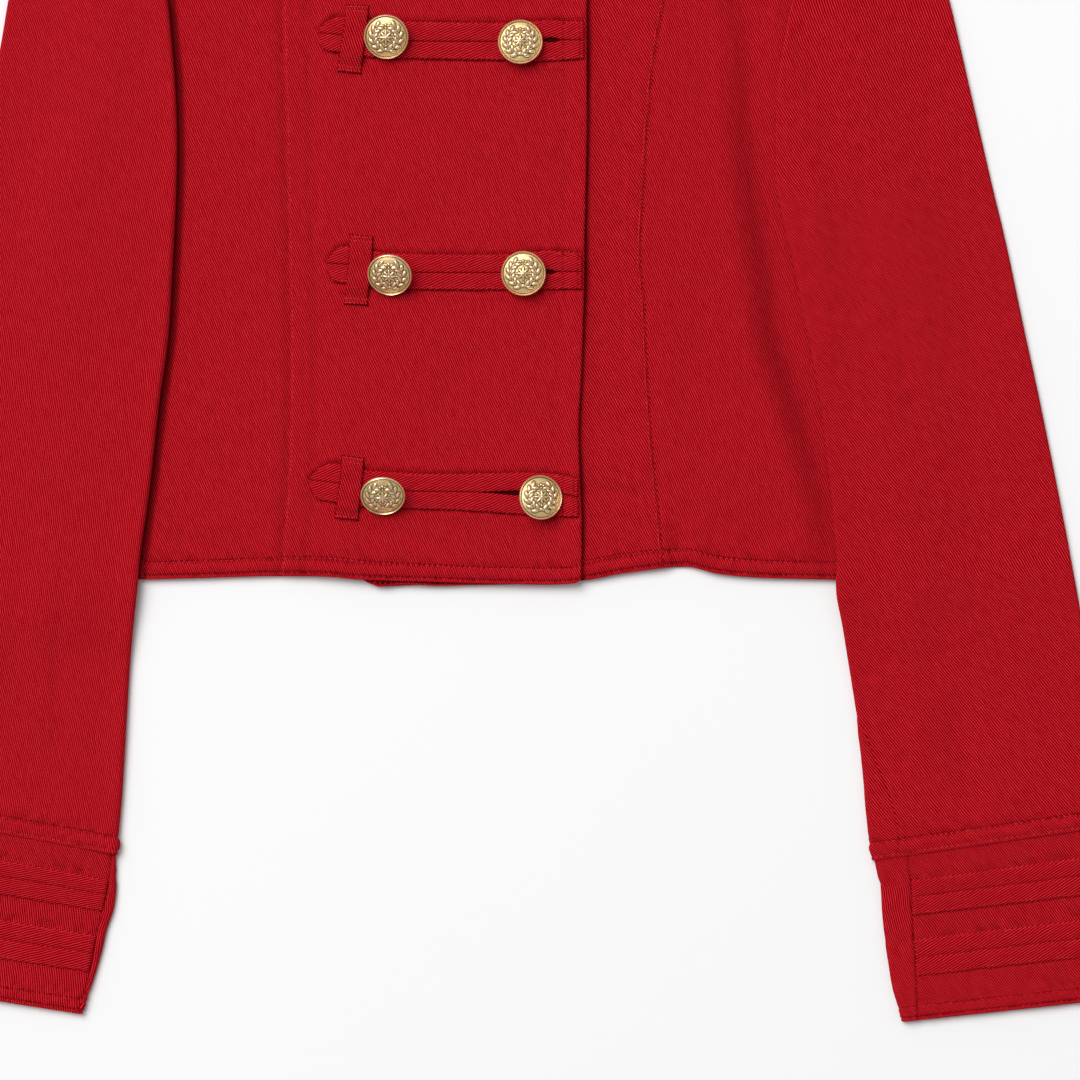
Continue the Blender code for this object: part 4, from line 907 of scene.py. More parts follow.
def fineColumns(ring, start, turn):
    # distances over the top, dense where the cloth rolls round the tube's edges
    wide = ring["outer"] > tube["narrow"]
    first = max(tube["edge"], start + 4) if wide else start + (turn - start) * 0.15
    last = ring["outer"] + 1 - tube["edge"] if wide else start + (turn - start) * 0.85
    parts = [start + (first - start) * np.array([0, 0.01, 0.03, 0.07, 0.12]),
             np.linspace(start + (first - start) * 0.18, first, 18), np.linspace(first, last, 66)[1:-1],
             np.linspace(last, last + (turn - last) * 0.85, 15),
             last + (turn - last) * np.array([0.91, 0.95, 0.98, 0.995, 1.0])]
    return np.concatenate(parts)


def underColumns(ring, turn, finish):
    wide = ring["outer"] > tube["narrow"]
    last = ring["total"] + 1 - tube["edge"] if wide else turn + (finish - turn) * 0.8
    last = min(last, turn + (finish - turn) * 0.97)
    parts = [turn + np.array([0, 0.1, 0.4, 1.0, 2.2]), np.linspace(turn + 4.0, last, 34),
             np.linspace(last, finish - (finish - last) * 0.06, 18)[1:], np.array([finish])]
    return np.sort(np.concatenate(parts))


def sleeveHeights(sleeve, inner, outer, isOpen):
    sign = sleeve["sign"]
    side = curves["sideRight" if sign < 0 else "sideLeft"]
    across = (outer - inner) / np.linalg.norm(outer - inner)

    def support(distance, fall):
        x, y = inner[0] + across[0] * distance, inner[1] + across[1] * distance
        outsideBy = sign * (x - readCurve(side, y, 1, 0))
        edgeX = x - sign * np.maximum(outsideBy, 0.0)
        fade = 1 - smooth((outsideBy - tube["held"]) / fall)
        fade = fade * (1 - smooth((tube["hemY"] - y - tube["hemHeld"]) / tube["hemFall"]))
        front = upperFront(edgeX, y) if sign < 0 else lowerFront(edgeX, y)
        return (front + cloth["wall"] + cloth["sleeveGap"]) * fade

    def low(distance):
        return 0.0 * distance if isOpen else support(distance, tube["underFall"])

    def high(distance):
        x, y = inner[0] + across[0] * distance, inner[1] + across[1] * distance
        rest = 0.0 * distance if isOpen else support(distance, tube["topFall"])
        puff = sleeve["edgePuff"] * bell(distance / 9.0)
        return rest + sleeve["flatHeight"] + puff + 0.25 * np.sin(y / 37.0 + x / 61.0)

    return low, high


def capRows(sleeve):
    sign = sleeve["sign"]
    armhole = np.array(body["armholeRight" if sign < 0 else "armholeLeft"][::-1])
    rows = []
    for index, cap in enumerate(sleeve["cap"]):
        along = armhole[index + 1] - armhole[max(index - 1, 0)]
        along = along / np.linalg.norm(along)
        inner = armhole[index] + np.array([along[1], -along[0]]) * -sign * cloth["armholeGap"]
        if index == 0:
            inner = inner + along * 1.2
        rows.append((inner, np.array(cap), None))
    return rows


def tubePiece(name, node, sign, sections, distances, relief, material, restsOn, topFree=0, seamLift=0.0,
              seamDip=0.36):
    # sections: (ring, inner, outer); distances: one list a section
    found = [np.hstack(ringAt(ring, d, inner, outer)) for (ring, inner, outer), d in zip(sections, distances)]
    count = len(distances[0])
    rings = np.array(found)
    places, facings = [part.reshape(len(found), -1) for part in (rings[..., :3], rings[..., 3:])]
    dense = curveThrough(np.hstack([places, facings, distances]))
    lengths = pathLengths(dense[:, :3 * count].reshape(-1, count, 3)[:, count // 2])
    fromHem = tubeRows(lengths[-1])
    rows = alongPath(dense, lengths[-1] - fromHem, lengths)
    place, normal = (rows[:, k * count:(k + 3) * count].reshape(-1, count, 3) for k in (0, 3))
    normal = normal / np.linalg.norm(normal, axis=2)[..., None]
    across = rows[:, 6 * count:]
    columns = across[len(across) // 2]
    seamGap = np.minimum(across - across[:, :1], across[:, -1:] - across)
    drop = rimDrop(np.minimum(fromHem, topFree * 1e3 + fromHem[-1] - fromHem))[:, None, None]
    seam = seamLift * bell((seamGap - 1.5) / 1.0) - seamDip * bell(seamGap / 0.9)
    height = fromHem[:, None] + 0 * across
    lift = relief(place, normal, across, height) + seam
    # painted shade from the creases and along the seams
    hollow = hollows(lift, fromHem, columns) + 0.3 * seamDip * bell(seamGap / 0.7)
    outside = place + normal * (lift[..., None] - drop)
    inside = place - normal * (cloth["wall"] - drop)
    # both faces rise where the underside would sink into the table
    sunk = np.maximum(cloth["rest"] - outside[..., 2], 0.0)
    outside[..., 2] += sunk
    inside[..., 2] += sunk
    clothShell(name, node, restsOn, outside, inside, np.dstack([sign * across, height]), material, fromHem,
               columns, hollow)


def tubeRows(total):
    # distances of the rows from the hem, closer together in the part that the photograph shows
    if total <= tube["short"]:
        return spaced(total, hemSteps, seamSteps, 1.5)
    shown = min(total - 4.0, tube["shown"])
    rest = spaced(total - shown, [0], plainSteps, 4.5)[1:] + shown
    return np.concatenate([spaced(shown, hemSteps, [0], 1.9), rest])


def sleeveRelief(sleeve):
    def relief(place, normal, across, fromHem):
        x, y = place[..., 0], place[..., 1]
        top = smooth((normal[..., 2] - 0.2) / 0.6)
        slow = 0.2 * uneven(x, y, 19, 8) + 0.05 * uneven(x, y, 6, 9)
        return hemRelief(across, fromHem, 0.3) + (slow + creaseHeight(x, y, sleeve["creases"])) * top
    return relief


def buildSleeve(side):
    sleeve = sleeves[side]
    rows = capRows(sleeve)
    for index, (a, b, c, d) in enumerate(sleeve["rows"]):
        rows.append((np.array((a, b)), np.array((c, d)), sleeve["starts"].get(index, tube["tucked"])))
    sections, upper, under = [], [], []
    for inner, outer, start in rows:
        isOpen = start is None
        low, high = sleeveHeights(sleeve, inner, outer, isOpen)
        ring = ringOutline(np.linalg.norm(outer - inner), low, high, isOpen)
        sections.append((ring, inner, outer))
        begin = ring["quarter"] if isOpen else start
        finish = ring["total"] + (-ring["quarter"] if isOpen else start - cloth["seam"])
        turn = ring["outer"] + tube["wrap"]
        upper.append(fineColumns(ring, begin, turn))
        under.append(underColumns(ring, turn + cloth["seam"], finish))
    front = side + "SideFront"
    for part, distances, restsOn in (("Upper", upper, [front]), ("Under", under, [front, "floor"])):
        tubePiece(f"{side}{part}Sleeve", f"sleeve_{side}_{part.lower()}", sleeve["sign"], sections, distances,
                  sleeveRelief(sleeve), sleeve["material"], restsOn)


def cuffRelief(place, normal, across, fromHem):
    x, y = place[..., 0], place[..., 1]
    rows = 0.6 * (bell((fromHem - hemRow["lower"]) / 0.6) + bell((fromHem - 7.1) / 0.8))
    puckers = 0.45 * uneven(across + fromHem * 0.5, fromHem, 3.0, 4) * (1 - smooth((fromHem - 10) / 8))
    dents = 0.0
    for middle in (43.5, 74.0):
        spots = 0.6 + 0.9 * uneven(across + 0.6 * fromHem, 0.6 * fromHem, 4.0, 6)
        dents = dents + 0.75 * spots * bell((fromHem - middle) / 2.1)
    return 0.22 * uneven(x, y, 9, 7) + 0.5 * (1 - smooth((fromHem - 7) / 2.0)) - rows + puckers - dents


def buildCuff(side):
    cuff = cuffs[side]
    sections, front, back = [], [], []
    first, second = np.array(cuff["rows"][:2])
    for a, b, c, d, split in [first + cuffs["tuck"] * (first - second), *cuff["rows"]]:
        inner, outer = np.array((a, b)), np.array((c, d))
        ring = ringOutline(np.linalg.norm(outer - inner), lambda at: 0 * at,
                           lambda at: 0 * at + cuffs["flatHeight"])
        sections.append((ring, inner, outer))
        turn = ring["outer"] + tube["wrap"]
        front.append(fineColumns(ring, split, turn))
        back.append(underColumns(ring, turn + cloth["seam"], ring["total"] + split - cloth["seam"]))
    cuff["sections"] = sections[1:]
    for part, distances, material, lift in (("Front", front, sleeves[side]["cuff"], 0.0),
                                            ("Back", back, cuffBackTwill, 0.5)):
        tubePiece(f"{side}Cuff{part}", f"cuff_{side}_{part.lower()}", cuff["sign"], sections, distances,
                  cuffRelief, material, ["floor"], 1, lift, 0.42)


for side in bothSides:
    buildSleeve(side)
    buildCuff(side)
print("sleeves and cuffs made")


# folded tapes across the cuffs: where the two runs of each start, meet and end, as shares of the cuff's depth

tapeSteps = np.array([0, 0.012, 0.04, 0.09, 0.16, 0.25, 0.35, 0.46, 0.57, 0.68, 0.78, 0.86, 0.92, 0.965, 1.0])
cuffTapes = {"upper": (0.150, 0.260, 0.376), "lower": (0.516, 0.628, 0.740), "wall": 1, "gap": 0.12,
             "depth": 84, "length": 112,
             "profile": [(0, -0.7), (0.03, -0.3), (0.09, 0), (0.28, 0.3), (0.6, 0.36), (0.86, 0.2),
                         (0.94, -0.10), (1, -0.7)]}


def cuffPoint(cuff, across, share):
    # across 0 to 1 over the top of the front piece, share 0 to 1 down the cuff
    spots = []
    for (ring, inner, outer), row in zip(cuff["sections"], cuff["rows"]):
        first = max(row[4], ring["quarter"]) + 0.4
        last = ring["outer"] - ring["quarter"]
        spots.append(ringAt(ring, first + (last - first) * across, inner, outer)[0])
    dense = curveThrough(np.array(spots).reshape(len(spots), -1), 12)
    found = alongPath(dense, share * (len(dense) - 1), np.arange(len(dense)))
    return found.reshape(len(share), len(across), 3)


def buildCuffTapes(side):
    cuff, depth = cuffs[side], cuffTapes["depth"]
    profile = np.array(cuffTapes["profile"])
    across = spaced(100.0, [0, 0.15, 0.4, 0.8], [0, 0.15, 0.4, 0.8], 0.8) / 100.0
    columns = across * cuffTapes["length"]
    runs = np.concatenate([tapeSteps, tapeSteps[1:]])
    for part in ("upper", "lower"):
        start, meet, end = cuffTapes[part]
        share = np.concatenate([start + (meet - start) * tapeSteps, meet + (end - meet) * tapeSteps[1:]])
        place = cuffPoint(cuff, across, share)
        x, y, z = (place[..., k] for k in range(3))
        jag = 0.28 * uneven(x, 0 * y + 40 * start, 1.5, 3) + 0.22 * uneven(x, 0 * y, 4.3, 5)
        y = y + jag * bell((runs[:, None] - 1.0) / 0.14)
        lift = np.interp(runs, *profile.T)[:, None] + 0.07 * uneven(x * 1.1, y * 1.6, 1.9, 6)
        rest = np.dstack([x, y, z + cuffTapes["gap"]])
        ends = 0.6 * (1 - smooth(np.minimum(columns, columns[-1] - columns) / 0.8))
        top = rest + np.dstack([0 * x, 0 * x, cuffTapes["wall"] + lift - ends])
        uv = np.dstack(np.meshgrid(cuff["sign"] * columns, (1 - share) * depth))
        clothShell(f"{side}CuffTape{part.capitalize()}", f"cuff_{side}_tape_{part}", [side + "CuffFront"],
                   top, rest, uv, tapeTwill, share * depth, columns)


for side in bothSides:
    buildCuffTapes(side)
print("cuff tapes made")


# folded tapes across the fronts

def tapeBase(x, y):
    return rightTop(x, y) + frontTapes["gap"]


def tapeTop(x, y):
    return tapeBase(x, y) + frontTapes["wall"]


def slitHalf(row, x):
    closed, wide, size = row["opening"]     # x where the slit closes, x where it is widest, half its width
    share = (x - closed) / (wide - closed)
    return frontTapes["slit"] / 2 + size * smooth(share) ** 1.3 * (1 - smooth((share - 1.4) / 1.2))


def edgeRound(distance, radius):
    # how far a soft edge sinks at that distance from it
    rise = 1 - np.clip(distance / radius, 0, 1)
    return frontTapes["edgeDrop"] * (1 - np.sqrt(np.clip(1 - rise ** 2, 0, 1)))


def buildFrontTape(name):
    row = frontTapes[name]
    startX, tipX = row["stations"][0][0], row["tip"][0]
    x = startX - spaced(startX - tipX, [0, 0.1, 0.3, 0.6], [0, 0.15, 0.4], frontTapes["pitch"])
    upper, middle, lower, leaf = tapeOutline(row, x)
    hump = np.sin(np.pi * tapeSteps)[:, None]
    vertices, faces, uvs = [], [], []
    count = 0
    for sign, limit in ((1, upper), (-1, lower)):
        opened = slitHalf(row, x) * (1 - smooth(leaf * 6)) + 0.05
        jag = 0.26 * uneven(x, 0 * x + 30 * sign, 1.5, 3) + 0.24 * uneven(x, 0 * x, 4.6, 5)
        jag = jag * (1 - leaf * 0.4) * (0.6 if sign > 0 else 1.0)
        inner = middle + sign * opened
        outer = middle + sign * (np.abs(limit - middle) + opened * 0.5 * 0.3) + jag
        y = inner + (outer - inner) * tapeSteps[:, None]
        xx = x + 0 * y
        base = tapeBase(xx, y)
        edge = np.minimum(np.minimum(np.abs(y - inner), np.abs(outer - y)), np.minimum(x[0] - x, x - x[-1]))
        puff = 0.30 * hump + 0.10 * uneven(xx * 1.1, y * 1.6, 1.9, 6)
        ripples = 0.18 * np.sin((xx * 0.5 + y * sign) * 1.9) * leaf * hump
        rounded = edgeRound(edge, frontTapes["edgeRadius"])
        top = np.dstack([xx, y, base + frontTapes["wall"] - rounded + puff + ripples])
        part, faceSets, source = shellParts(top, np.dstack([xx, y, base]))
        faces.append([f + count for f in outwards(part, faceSets)])
        vertices.append(part)
        uvs.append(np.dstack([xx, y]).reshape(-1, 2)[source])
        count += len(part)
    joined = [np.vstack(both) for both in zip(*faces)]
    label, length, width = "frontTape" + name.capitalize(), startX - tipX, frontTapes["width"]
    piece = meshObject(label, np.vstack(vertices), joined, tapeTwill, np.vstack(uvs))
    finished.append((piece, "front_tape_" + name, {"flat": (length, width), "rests": ["rightCentreFront"],
                                                   "area": frontTapes["filled"] * length * width}))


def buildSlitShade(name):
    # painted shade for the depth of the slit: a dark thin strip just above the front
    row = frontTapes[name]
    closed, wide, _ = row["opening"]
    x = np.linspace(min(closed, wide - 14), max(closed, wide + 12), 40)
    middle = tapeOutline(row, x)[1]
    half = slitHalf(row, x) + 0.3
    y = np.vstack([middle - half, middle + half])
    xx = np.vstack([x, x])
    base = rightTop(xx, y)
    vertices, faceSets, _ = shellParts(np.dstack([xx, y, base + 0.22]), np.dstack([xx, y, base - 0.3]))
    finished.append((meshObject("slitShade" + name.capitalize(), vertices, faceSets, slitShade), None, None))


def buildTab(name):
    row = frontTapes[name]
    upperA, upperB, lowerB, lowerA = [np.array(c) for c in row["tab"]]
    length = (np.linalg.norm(upperA - lowerA) + np.linalg.norm(upperB - lowerB)) / 2
    near = [0, 0.1, 0.3, 0.6, 1.0]
    rows = spaced(length, near + [1.4], near + [1.4], 0.7)
    columns = spaced(np.linalg.norm(upperA - upperB), near, near, 0.7)
    u, v = (rows / rows[-1])[:, None, None], (columns / columns[-1])[None, :, None]
    grid = (upperA * (1 - v) + upperB * v) * (1 - u) + (lowerA * (1 - v) + lowerB * v) * u
    x, y = grid[..., 0] + 0.35 * np.sin(rows / length * 5.0)[:, None], grid[..., 1]
    high, low = stationAt(row, x, 1), stationAt(row, x, 3)
    over = smooth((high + 6.5 - y) / 6.0) * smooth((y - low + 6.5) / 6.0)
    base = tapeBase(x, y) + over * (frontTapes["wall"] + 0.5)
    fromEnd = np.minimum(rows, rows[-1] - rows)[:, None]
    stitched = 0.42 * bell((fromEnd - 2.3) / 0.5) - 0.3 * (1 - smooth((fromEnd - 1.6) / 1.0))
    puff = 0.22 * np.sin(np.pi * columns / columns[-1]) + 0.10 * uneven(x * 1.2, y * 1.2, 1.9, 8)
    rounded = edgeRound(edgeDistance(rows, columns), frontTapes["tabEdgeRadius"])
    top = np.dstack([x, y, base + frontTapes["wall"] + 0.1 - rounded - stitched + puff])
    uv = np.dstack(np.meshgrid(columns, length - rows))
    clothShell("tab" + name.capitalize(), "tab_" + name, ["frontTape" + name.capitalize()], top,
               np.dstack([x, y, base]), uv, tabTwill, rows, columns)


for name in tapeNames:
    buildFrontTape(name)
    buildSlitShade(name)
    buildTab(name)
print("front tapes and tabs made")


# brass buttons: a rosette between two leafy sprigs inside a plain polished rim

button = {
    "shortestShank": 2.6, "rimReach": 10.8, "rimClear": 0.4, "faceHeight": 1.6, "footGap": 0.2,
    "shankRadius": 2.2, "petals": 8, "sprigRadius": 5.9, "leafPairs": 6, "segments": 120, "rings": 48,
    "ground": [(0, 3.1), (3, 2.95), (6.4, 2.4), (8.8, 1.7), (10, 1.15), (10.35, 0.95), (10.6, 1.2),
               (10.8, 1.75), (11.05, 1.95), (11.3, 1.75), (11.5, 1.1)], "face": 10.1, "patternScale": 1.13,
    "places": [("top_outer", -45.3, 72.1, 17, 80), ("top_inner", 23.4, 69.9, 4, 270),
               ("middle_outer", -43.5, -50, 30, 78), ("middle_inner", 25, -48.9, 5, 60),
               ("bottom_outer", -46.9, -163.1, 35, 90), ("bottom_inner", 34, -163.5, 18, 200)],
    "beads": [(0, -5.6, 0.75), (-0.95, -5.9, 0.5), (0.95, -5.9, 0.5), (0, 5.7, 0.6), (-1.2, 5.3, 0.45),
              (1.2, 5.3, 0.45), (0, 4.2, 0.38), (3.6, 0, 0.42), (-3.6, 0, 0.42), (0, -3.9, 0.42)],
    "rim": [10.1, 10.25, 10.35, 10.45, 10.55, 10.65, 10.75, 10.9, 11.05, 11.2, 11.35, 11.45, 11.5],
}
# ground: radius and height; places: node, x, y, tilt and the direction it leans from; beads: x, y, radius


def buttonRelief(u, v):
    u, v = u / button["patternScale"], v / button["patternScale"]
    r, a = np.hypot(u, v), np.arctan2(v, u)
    relief = 0.9 * np.clip(1 - (r / (2.5 + 0.75 * np.cos(button["petals"] * a))) ** 2, 0, 1) ** 0.5
    relief = np.maximum(relief, 1.2 * np.sqrt(np.clip(1 - (r / 0.9) ** 2, 0, 1)))

    def lump(x, y, longWay, shortWay, turn, height):
        du, dv = u - x, v - y
        p = (du * math.cos(turn) + dv * math.sin(turn)) / longWay
        q = (-du * math.sin(turn) + dv * math.cos(turn)) / shortWay
        return height * np.sqrt(np.clip(1 - p * p - q * q, 0, 1))

    for side in (-1, 1):
        for leaf in range(button["leafPairs"]):
            bend = math.radians(-66 + leaf * 25)
            cx = side * button["sprigRadius"] * math.cos(bend)
            cy = button["sprigRadius"] * math.sin(bend)
            stem = bend + math.pi / 2 if side > 0 else math.pi / 2 - bend
            for lean, out in ((0.6, 1.05), (-0.6, -1.05)):
                x = cx + side * out * math.cos(bend)
                y = cy + out * math.sin(bend)
                relief = np.maximum(relief, lump(x, y, 1.6, 0.78, stem - lean * side, 0.85))
        arc = np.abs(r - button["sprigRadius"]) / 0.22
        inArc = (np.abs(u) > 1.6)
        relief = np.maximum(relief, 0.3 * np.sqrt(np.clip(1 - arc ** 2, 0, 1)) * inArc)
    for x, y, size in button["beads"]:
        relief = np.maximum(relief, lump(x, y, size, size, 0.0, 0.55))
    return relief


def buildButton(name, x, y, tilt, towards, material):
    tilt, towards = math.radians(tilt), math.radians(towards)
    shankRadius, segments = button["shankRadius"], button["segments"]
    footLift = shankRadius * math.sin(tilt)
    rimDepth = button["rimReach"] * math.sin(tilt)     # how far the rim comes down when the button tilts
    shank = max(button["shortestShank"], (rimDepth + button["rimClear"] - footLift) / math.cos(tilt))
    profile = np.array(button["ground"])
    radii = np.concatenate([np.linspace(0.12, 9.9, button["rings"]), button["rim"]])[:, None]
    angle = 2 * np.pi * np.arange(segments) / segments
    u, v = radii * np.cos(angle), radii * np.sin(angle)
    inFace = radii < button["face"]
    relief = buttonRelief(u, v) * inFace
    # the cavity value: dark round the relief and in the groove inside the rim, partly brass patina and partly
    # painted shade
    turns = np.radians(range(0, 360, 45))
    around = sum(buttonRelief(u + 0.45 * math.cos(t), v + 0.45 * math.sin(t)) for t in turns) / len(turns)
    cavity = np.clip((around - relief) / 0.09, 0, 1) * inFace + bell((radii - 10.35) / 0.24)
    height = np.interp(radii, profile[:, 0], profile[:, 1]) + relief
    # below the rim: the flat back, then the shank
    lower = np.array([(11.3, 0.6), (10.8, 0.1), (9, 0), (shankRadius + 0.6, 0), (shankRadius, -0.5),
                      (shankRadius, -shank)])
    backReach, backHeight = lower[:, :1], lower[:, 1:] + 0 * angle
    back = np.dstack([backReach * np.cos(angle), backReach * np.sin(angle), backHeight])
    loops = np.vstack([np.dstack([u, v, height]), back])
    grid = np.arange(len(loops) * segments).reshape(len(loops), segments)
    after = np.roll(grid, -1, axis=1)
    quads = np.dstack([grid[:-1], grid[1:], after[1:], after[:-1]]).reshape(-1, 4)
    middle = 0 * grid[0] + grid.size
    caps = np.vstack([np.column_stack([middle, grid[0], after[0]]),
                      np.column_stack([middle + 1, after[-1], grid[-1]])])
    centres = [[0, 0, height[0].mean()], [0, 0, -shank]]
    raised = np.where(inFace, relief / 0.45, radii > 10.5).ravel()
    setBack = (shank + button["faceHeight"]) * math.sin(tilt)
    footX, footY = x + setBack * math.cos(towards), y + setBack * math.sin(towards)
    footZ = float(tapeTop(np.array([footX]), np.array([footY]))[0]) + button["footGap"] + footLift
    turn = Matrix.Translation((footX, footY, footZ)) @ Matrix.Rotation(
        tilt, 4, Vector((math.sin(towards), -math.cos(towards), 0.0)))
    turn = np.array(turn @ Matrix.Translation((0.0, 0.0, shank)))
    vertices = np.vstack([loops.reshape(-1, 3), centres]) @ turn[:3, :3].T + turn[:3, 3]
    piece = meshObject("brass" + name.title().replace("_", ""), vertices, [quads, caps], material, sharp=60.0,
                       raised=np.concatenate([raised, np.full(back[..., 0].size, 0.7), [1.0, 0.0]]),
                       cavity=np.concatenate([cavity.ravel(), np.zeros(back[..., 0].size + 2)]))
    finished.append((piece, "button_" + name, None))


def brassLike():
    material, tree, shader = newMaterial("paleBrass")
    place = addNode(tree, "ShaderNodeTexCoord", (), "Object")
    stipple, cloudy = noiseValue(tree, place, 2600.0, 1.0), noiseValue(tree, place, 420.0)
    mask = calc(tree, "POWER", attribute(tree, "raised"), 0.8)
    ground = blendColour(tree, stipple, (0.75, 0.49, 0.20, 1.0), (1.0, 0.79, 0.43, 1.0))
    worn = blendColour(tree, cloudy, (0.85, 0.60, 0.33, 1.0), (0.95, 0.74, 0.46, 1.0))
    metal = blendColour(tree, mask, ground, worn)
    # partly patina, partly painted shade in the recesses
    patinaAndShade = calc(tree, "MULTIPLY", attribute(tree, "cavity"), 0.95)
    rough = calc(tree, "MULTIPLY_ADD", mask, -0.12, 0.42)
    stippled = calc(tree, "MULTIPLY", stipple, calc(tree, "SUBTRACT", 1.0, mask))
    fill(tree, shader, {"Base Color": blendColour(tree, patinaAndShade, metal, (0.10, 0.045, 0.010, 1.0)),
                        "Roughness": calc(tree, "MULTIPLY_ADD", cloudy, 0.06, rough), "Metallic": 0.80,
                        "Normal": addNode(tree, "ShaderNodeBump", {"Distance": 0.00012, "Height": stippled})})
    return material


paleBrass = brassLike()
for place in button["places"]:
    buildButton(*place, paleBrass)
print("buttons made")


# sewing: a leaning bead of thread for each stitch, and dark beads of painted shade for the hollows beside
# them

sewing = {"pitch": 2.8, "seamPitch": 2.2, "tapePitch": 2.4, "lean": 0.22, "shadeOffset": 0.8}
# every bead but the thread ones is a dark bead of painted shade
beads = {"thread": (0.95, 0.34, 0.22), "shade": (1.25, 0.7, 0.16), "seamShade": (1.0, 0.45, 0.14),
         "tapeThread": (0.8, 0.22, 0.2), "tapeShade": (1.25, 0.3, 0.15), "tabThread": (0.85, 0.24, 0.2),
         "pucker": (1.4, 0.5, 0.16), "edgeShade": (1.35, 0.55, 0.2), "cuffShade": (1.2, 0.3, 0.16)}
# pitches are along the row; lean in radians; each bead: half length, width and height


def buildSewingTree():
    kinds = {"Geometry": "Geometry", "Pitch": "Float", "Size": "Vector", "Lean": "Float", "Seed": "Int",
             "Material": "Material"}
    tree, given, result = newGroup("sewnRow", "GeometryNodeTree", kinds, {"Geometry": "Geometry"})
    line = addNode(tree, "GeometryNodeMeshToCurve", {0: given["Geometry"]})
    even = addNode(tree, "GeometryNodeResampleCurve", {"Curve": line, "Length": given["Pitch"]},
                   mode="LENGTH")
    bead = addNode(tree, "GeometryNodeMeshUVSphere", {"Segments": 6, "Rings": 3, "Radius": 1.0}, "Mesh")
    tangent = addNode(tree, "GeometryNodeInputTangent")
    align = addNode(tree, "FunctionNodeAlignRotationToVector", {"Vector": tangent}, axis="X",
                    pivot_axis="AUTO")
    jitter = addNode(tree, "FunctionNodeRandomValue", {2: 0.55, 3: 1.15, "Seed": given["Seed"]}, 1,
                     data_type="FLOAT")
    lean = addNode(tree, "FunctionNodeEulerToRotation",
                   {0: addNode(tree, "ShaderNodeCombineXYZ", {"Z": given["Lean"]})})
    turn = addNode(tree, "FunctionNodeRotateRotation", {"Rotation": align, "Rotate By": lean},
                   rotation_space="LOCAL")
    size = addNode(tree, "ShaderNodeVectorMath", {0: given["Size"], "Scale": jitter}, operation="SCALE")
    scatter = addNode(tree, "GeometryNodeInstanceOnPoints",
                      {"Points": even, "Instance": bead, "Rotation": turn, "Scale": size})
    real = addNode(tree, "GeometryNodeRealizeInstances", {0: scatter})
    dressed = addNode(tree, "GeometryNodeSetMaterial", {"Geometry": real, "Material": given["Material"]})
    fill(tree, result, {0: dressed})
    return tree


sewnRow = buildSewingTree()


def sewnPiece(name, lines, pitch, size, lean, material):
    vertices, edges = [], []
    for line in lines:
        total = pathLengths(line)[-1]
        line = alongPath(line, np.linspace(0, total, max(3, int(total / 1.2))))
        first = len(vertices)
        vertices += (line * mm).tolist()
        edges += [(first + k, first + k + 1) for k in range(len(line) - 1)]
    mesh = bpy.data.meshes.new(name + "Lines")
    mesh.from_pydata(vertices, edges, [])
    source = newObject(name + "Lines", mesh)
    rows = source.modifiers.new("rows", "NODES")
    rows.node_group = sewnRow
    values = {"Pitch": pitch * mm, "Size": [side * mm for side in size], "Lean": lean, "Seed": 5,
              "Material": material}
    for item in sewnRow.interface.items_tree:
        if item.in_out == "INPUT" and item.name in values:
            rows[item.identifier] = values[item.name]
    made = bpy.data.meshes.new_from_object(source.evaluated_get(bpy.context.evaluated_depsgraph_get()))
    bpy.data.objects.remove(source)
    made.shade_smooth()
    finished.append((newObject(name, made), None, None))


def lineFrom(line, across=0.0, up=0.0, ends=2):
    # a row or column of a shell, shifted along y and z and without its ends
    return (line + np.array([0, across, up]))[ends:-ends]


def rowLine(name, distance, up=0.1, ends=2):
    rows = shells[name]["rows"]
    return lineFrom(shells[name]["outside"][np.argmin(np.abs(rows - distance))], 0, up, ends)


def columnLine(name, distance, fromEnd=False, up=0.08):
    columns = shells[name]["columns"]
    wanted = columns[-1] - distance if fromEnd else columns[0] + distance
    return lineFrom(shells[name]["outside"][:, np.argmin(np.abs(columns - wanted))], 0, up)


def sewLongRows():
    # seams, hems, sleeve ends and cuffs
    fronts = ("rightSideFront", "rightCentreFront", "leftCentreFront", "leftSideFront")
    hems = [(name, d) for name in fronts for d in hemRow.values()]
    tubes = [(side + part, d) for parts, distances in ((("UpperSleeve", "UnderSleeve"), hemRow.values()),
                                                       (("CuffFront", "CuffBack"), (1.8, 7.1)))
             for side in bothSides for d in distances for part in parts]
    for side in bothSides:
        # painted shade along the cuff seams
        seam = columnLine(side + "CuffFront", 0.0, up=0.15)
        sewnPiece(side + "CuffSeamShade", [seam], 2.3, beads["cuffShade"], 0.3, softShade)
    for name, places in (("hemStitches", hems), ("sleeveStitches", tubes)):
        rows = [rowLine(*place) for place in places]
        sewnPiece(name, rows, sewing["pitch"], beads["thread"], sewing["lean"], sewingThread)
        # painted shade: dark beads just above the rows
        above = [rowLine(n, d + sewing["shadeOffset"]) for n, d in places if "Sleeve" not in n or d > 5.0]
        sewnPiece(name + "Shade", above, sewing["pitch"], beads["shade"], sewing["lean"] / 2, softShade)
    seams = [columnLine("rightCentreFront", 1.6), columnLine("leftCentreFront", 1.6, True)]
    sewnPiece("seamStitches", seams, sewing["seamPitch"], beads["thread"], sewing["lean"], sewingThread)
    # painted shade beside the left seam
    beside = columnLine("leftCentreFront", 1.0, True)
    sewnPiece("seamStitchesShade", [beside], sewing["seamPitch"], beads["seamShade"], 0.3, softShade)


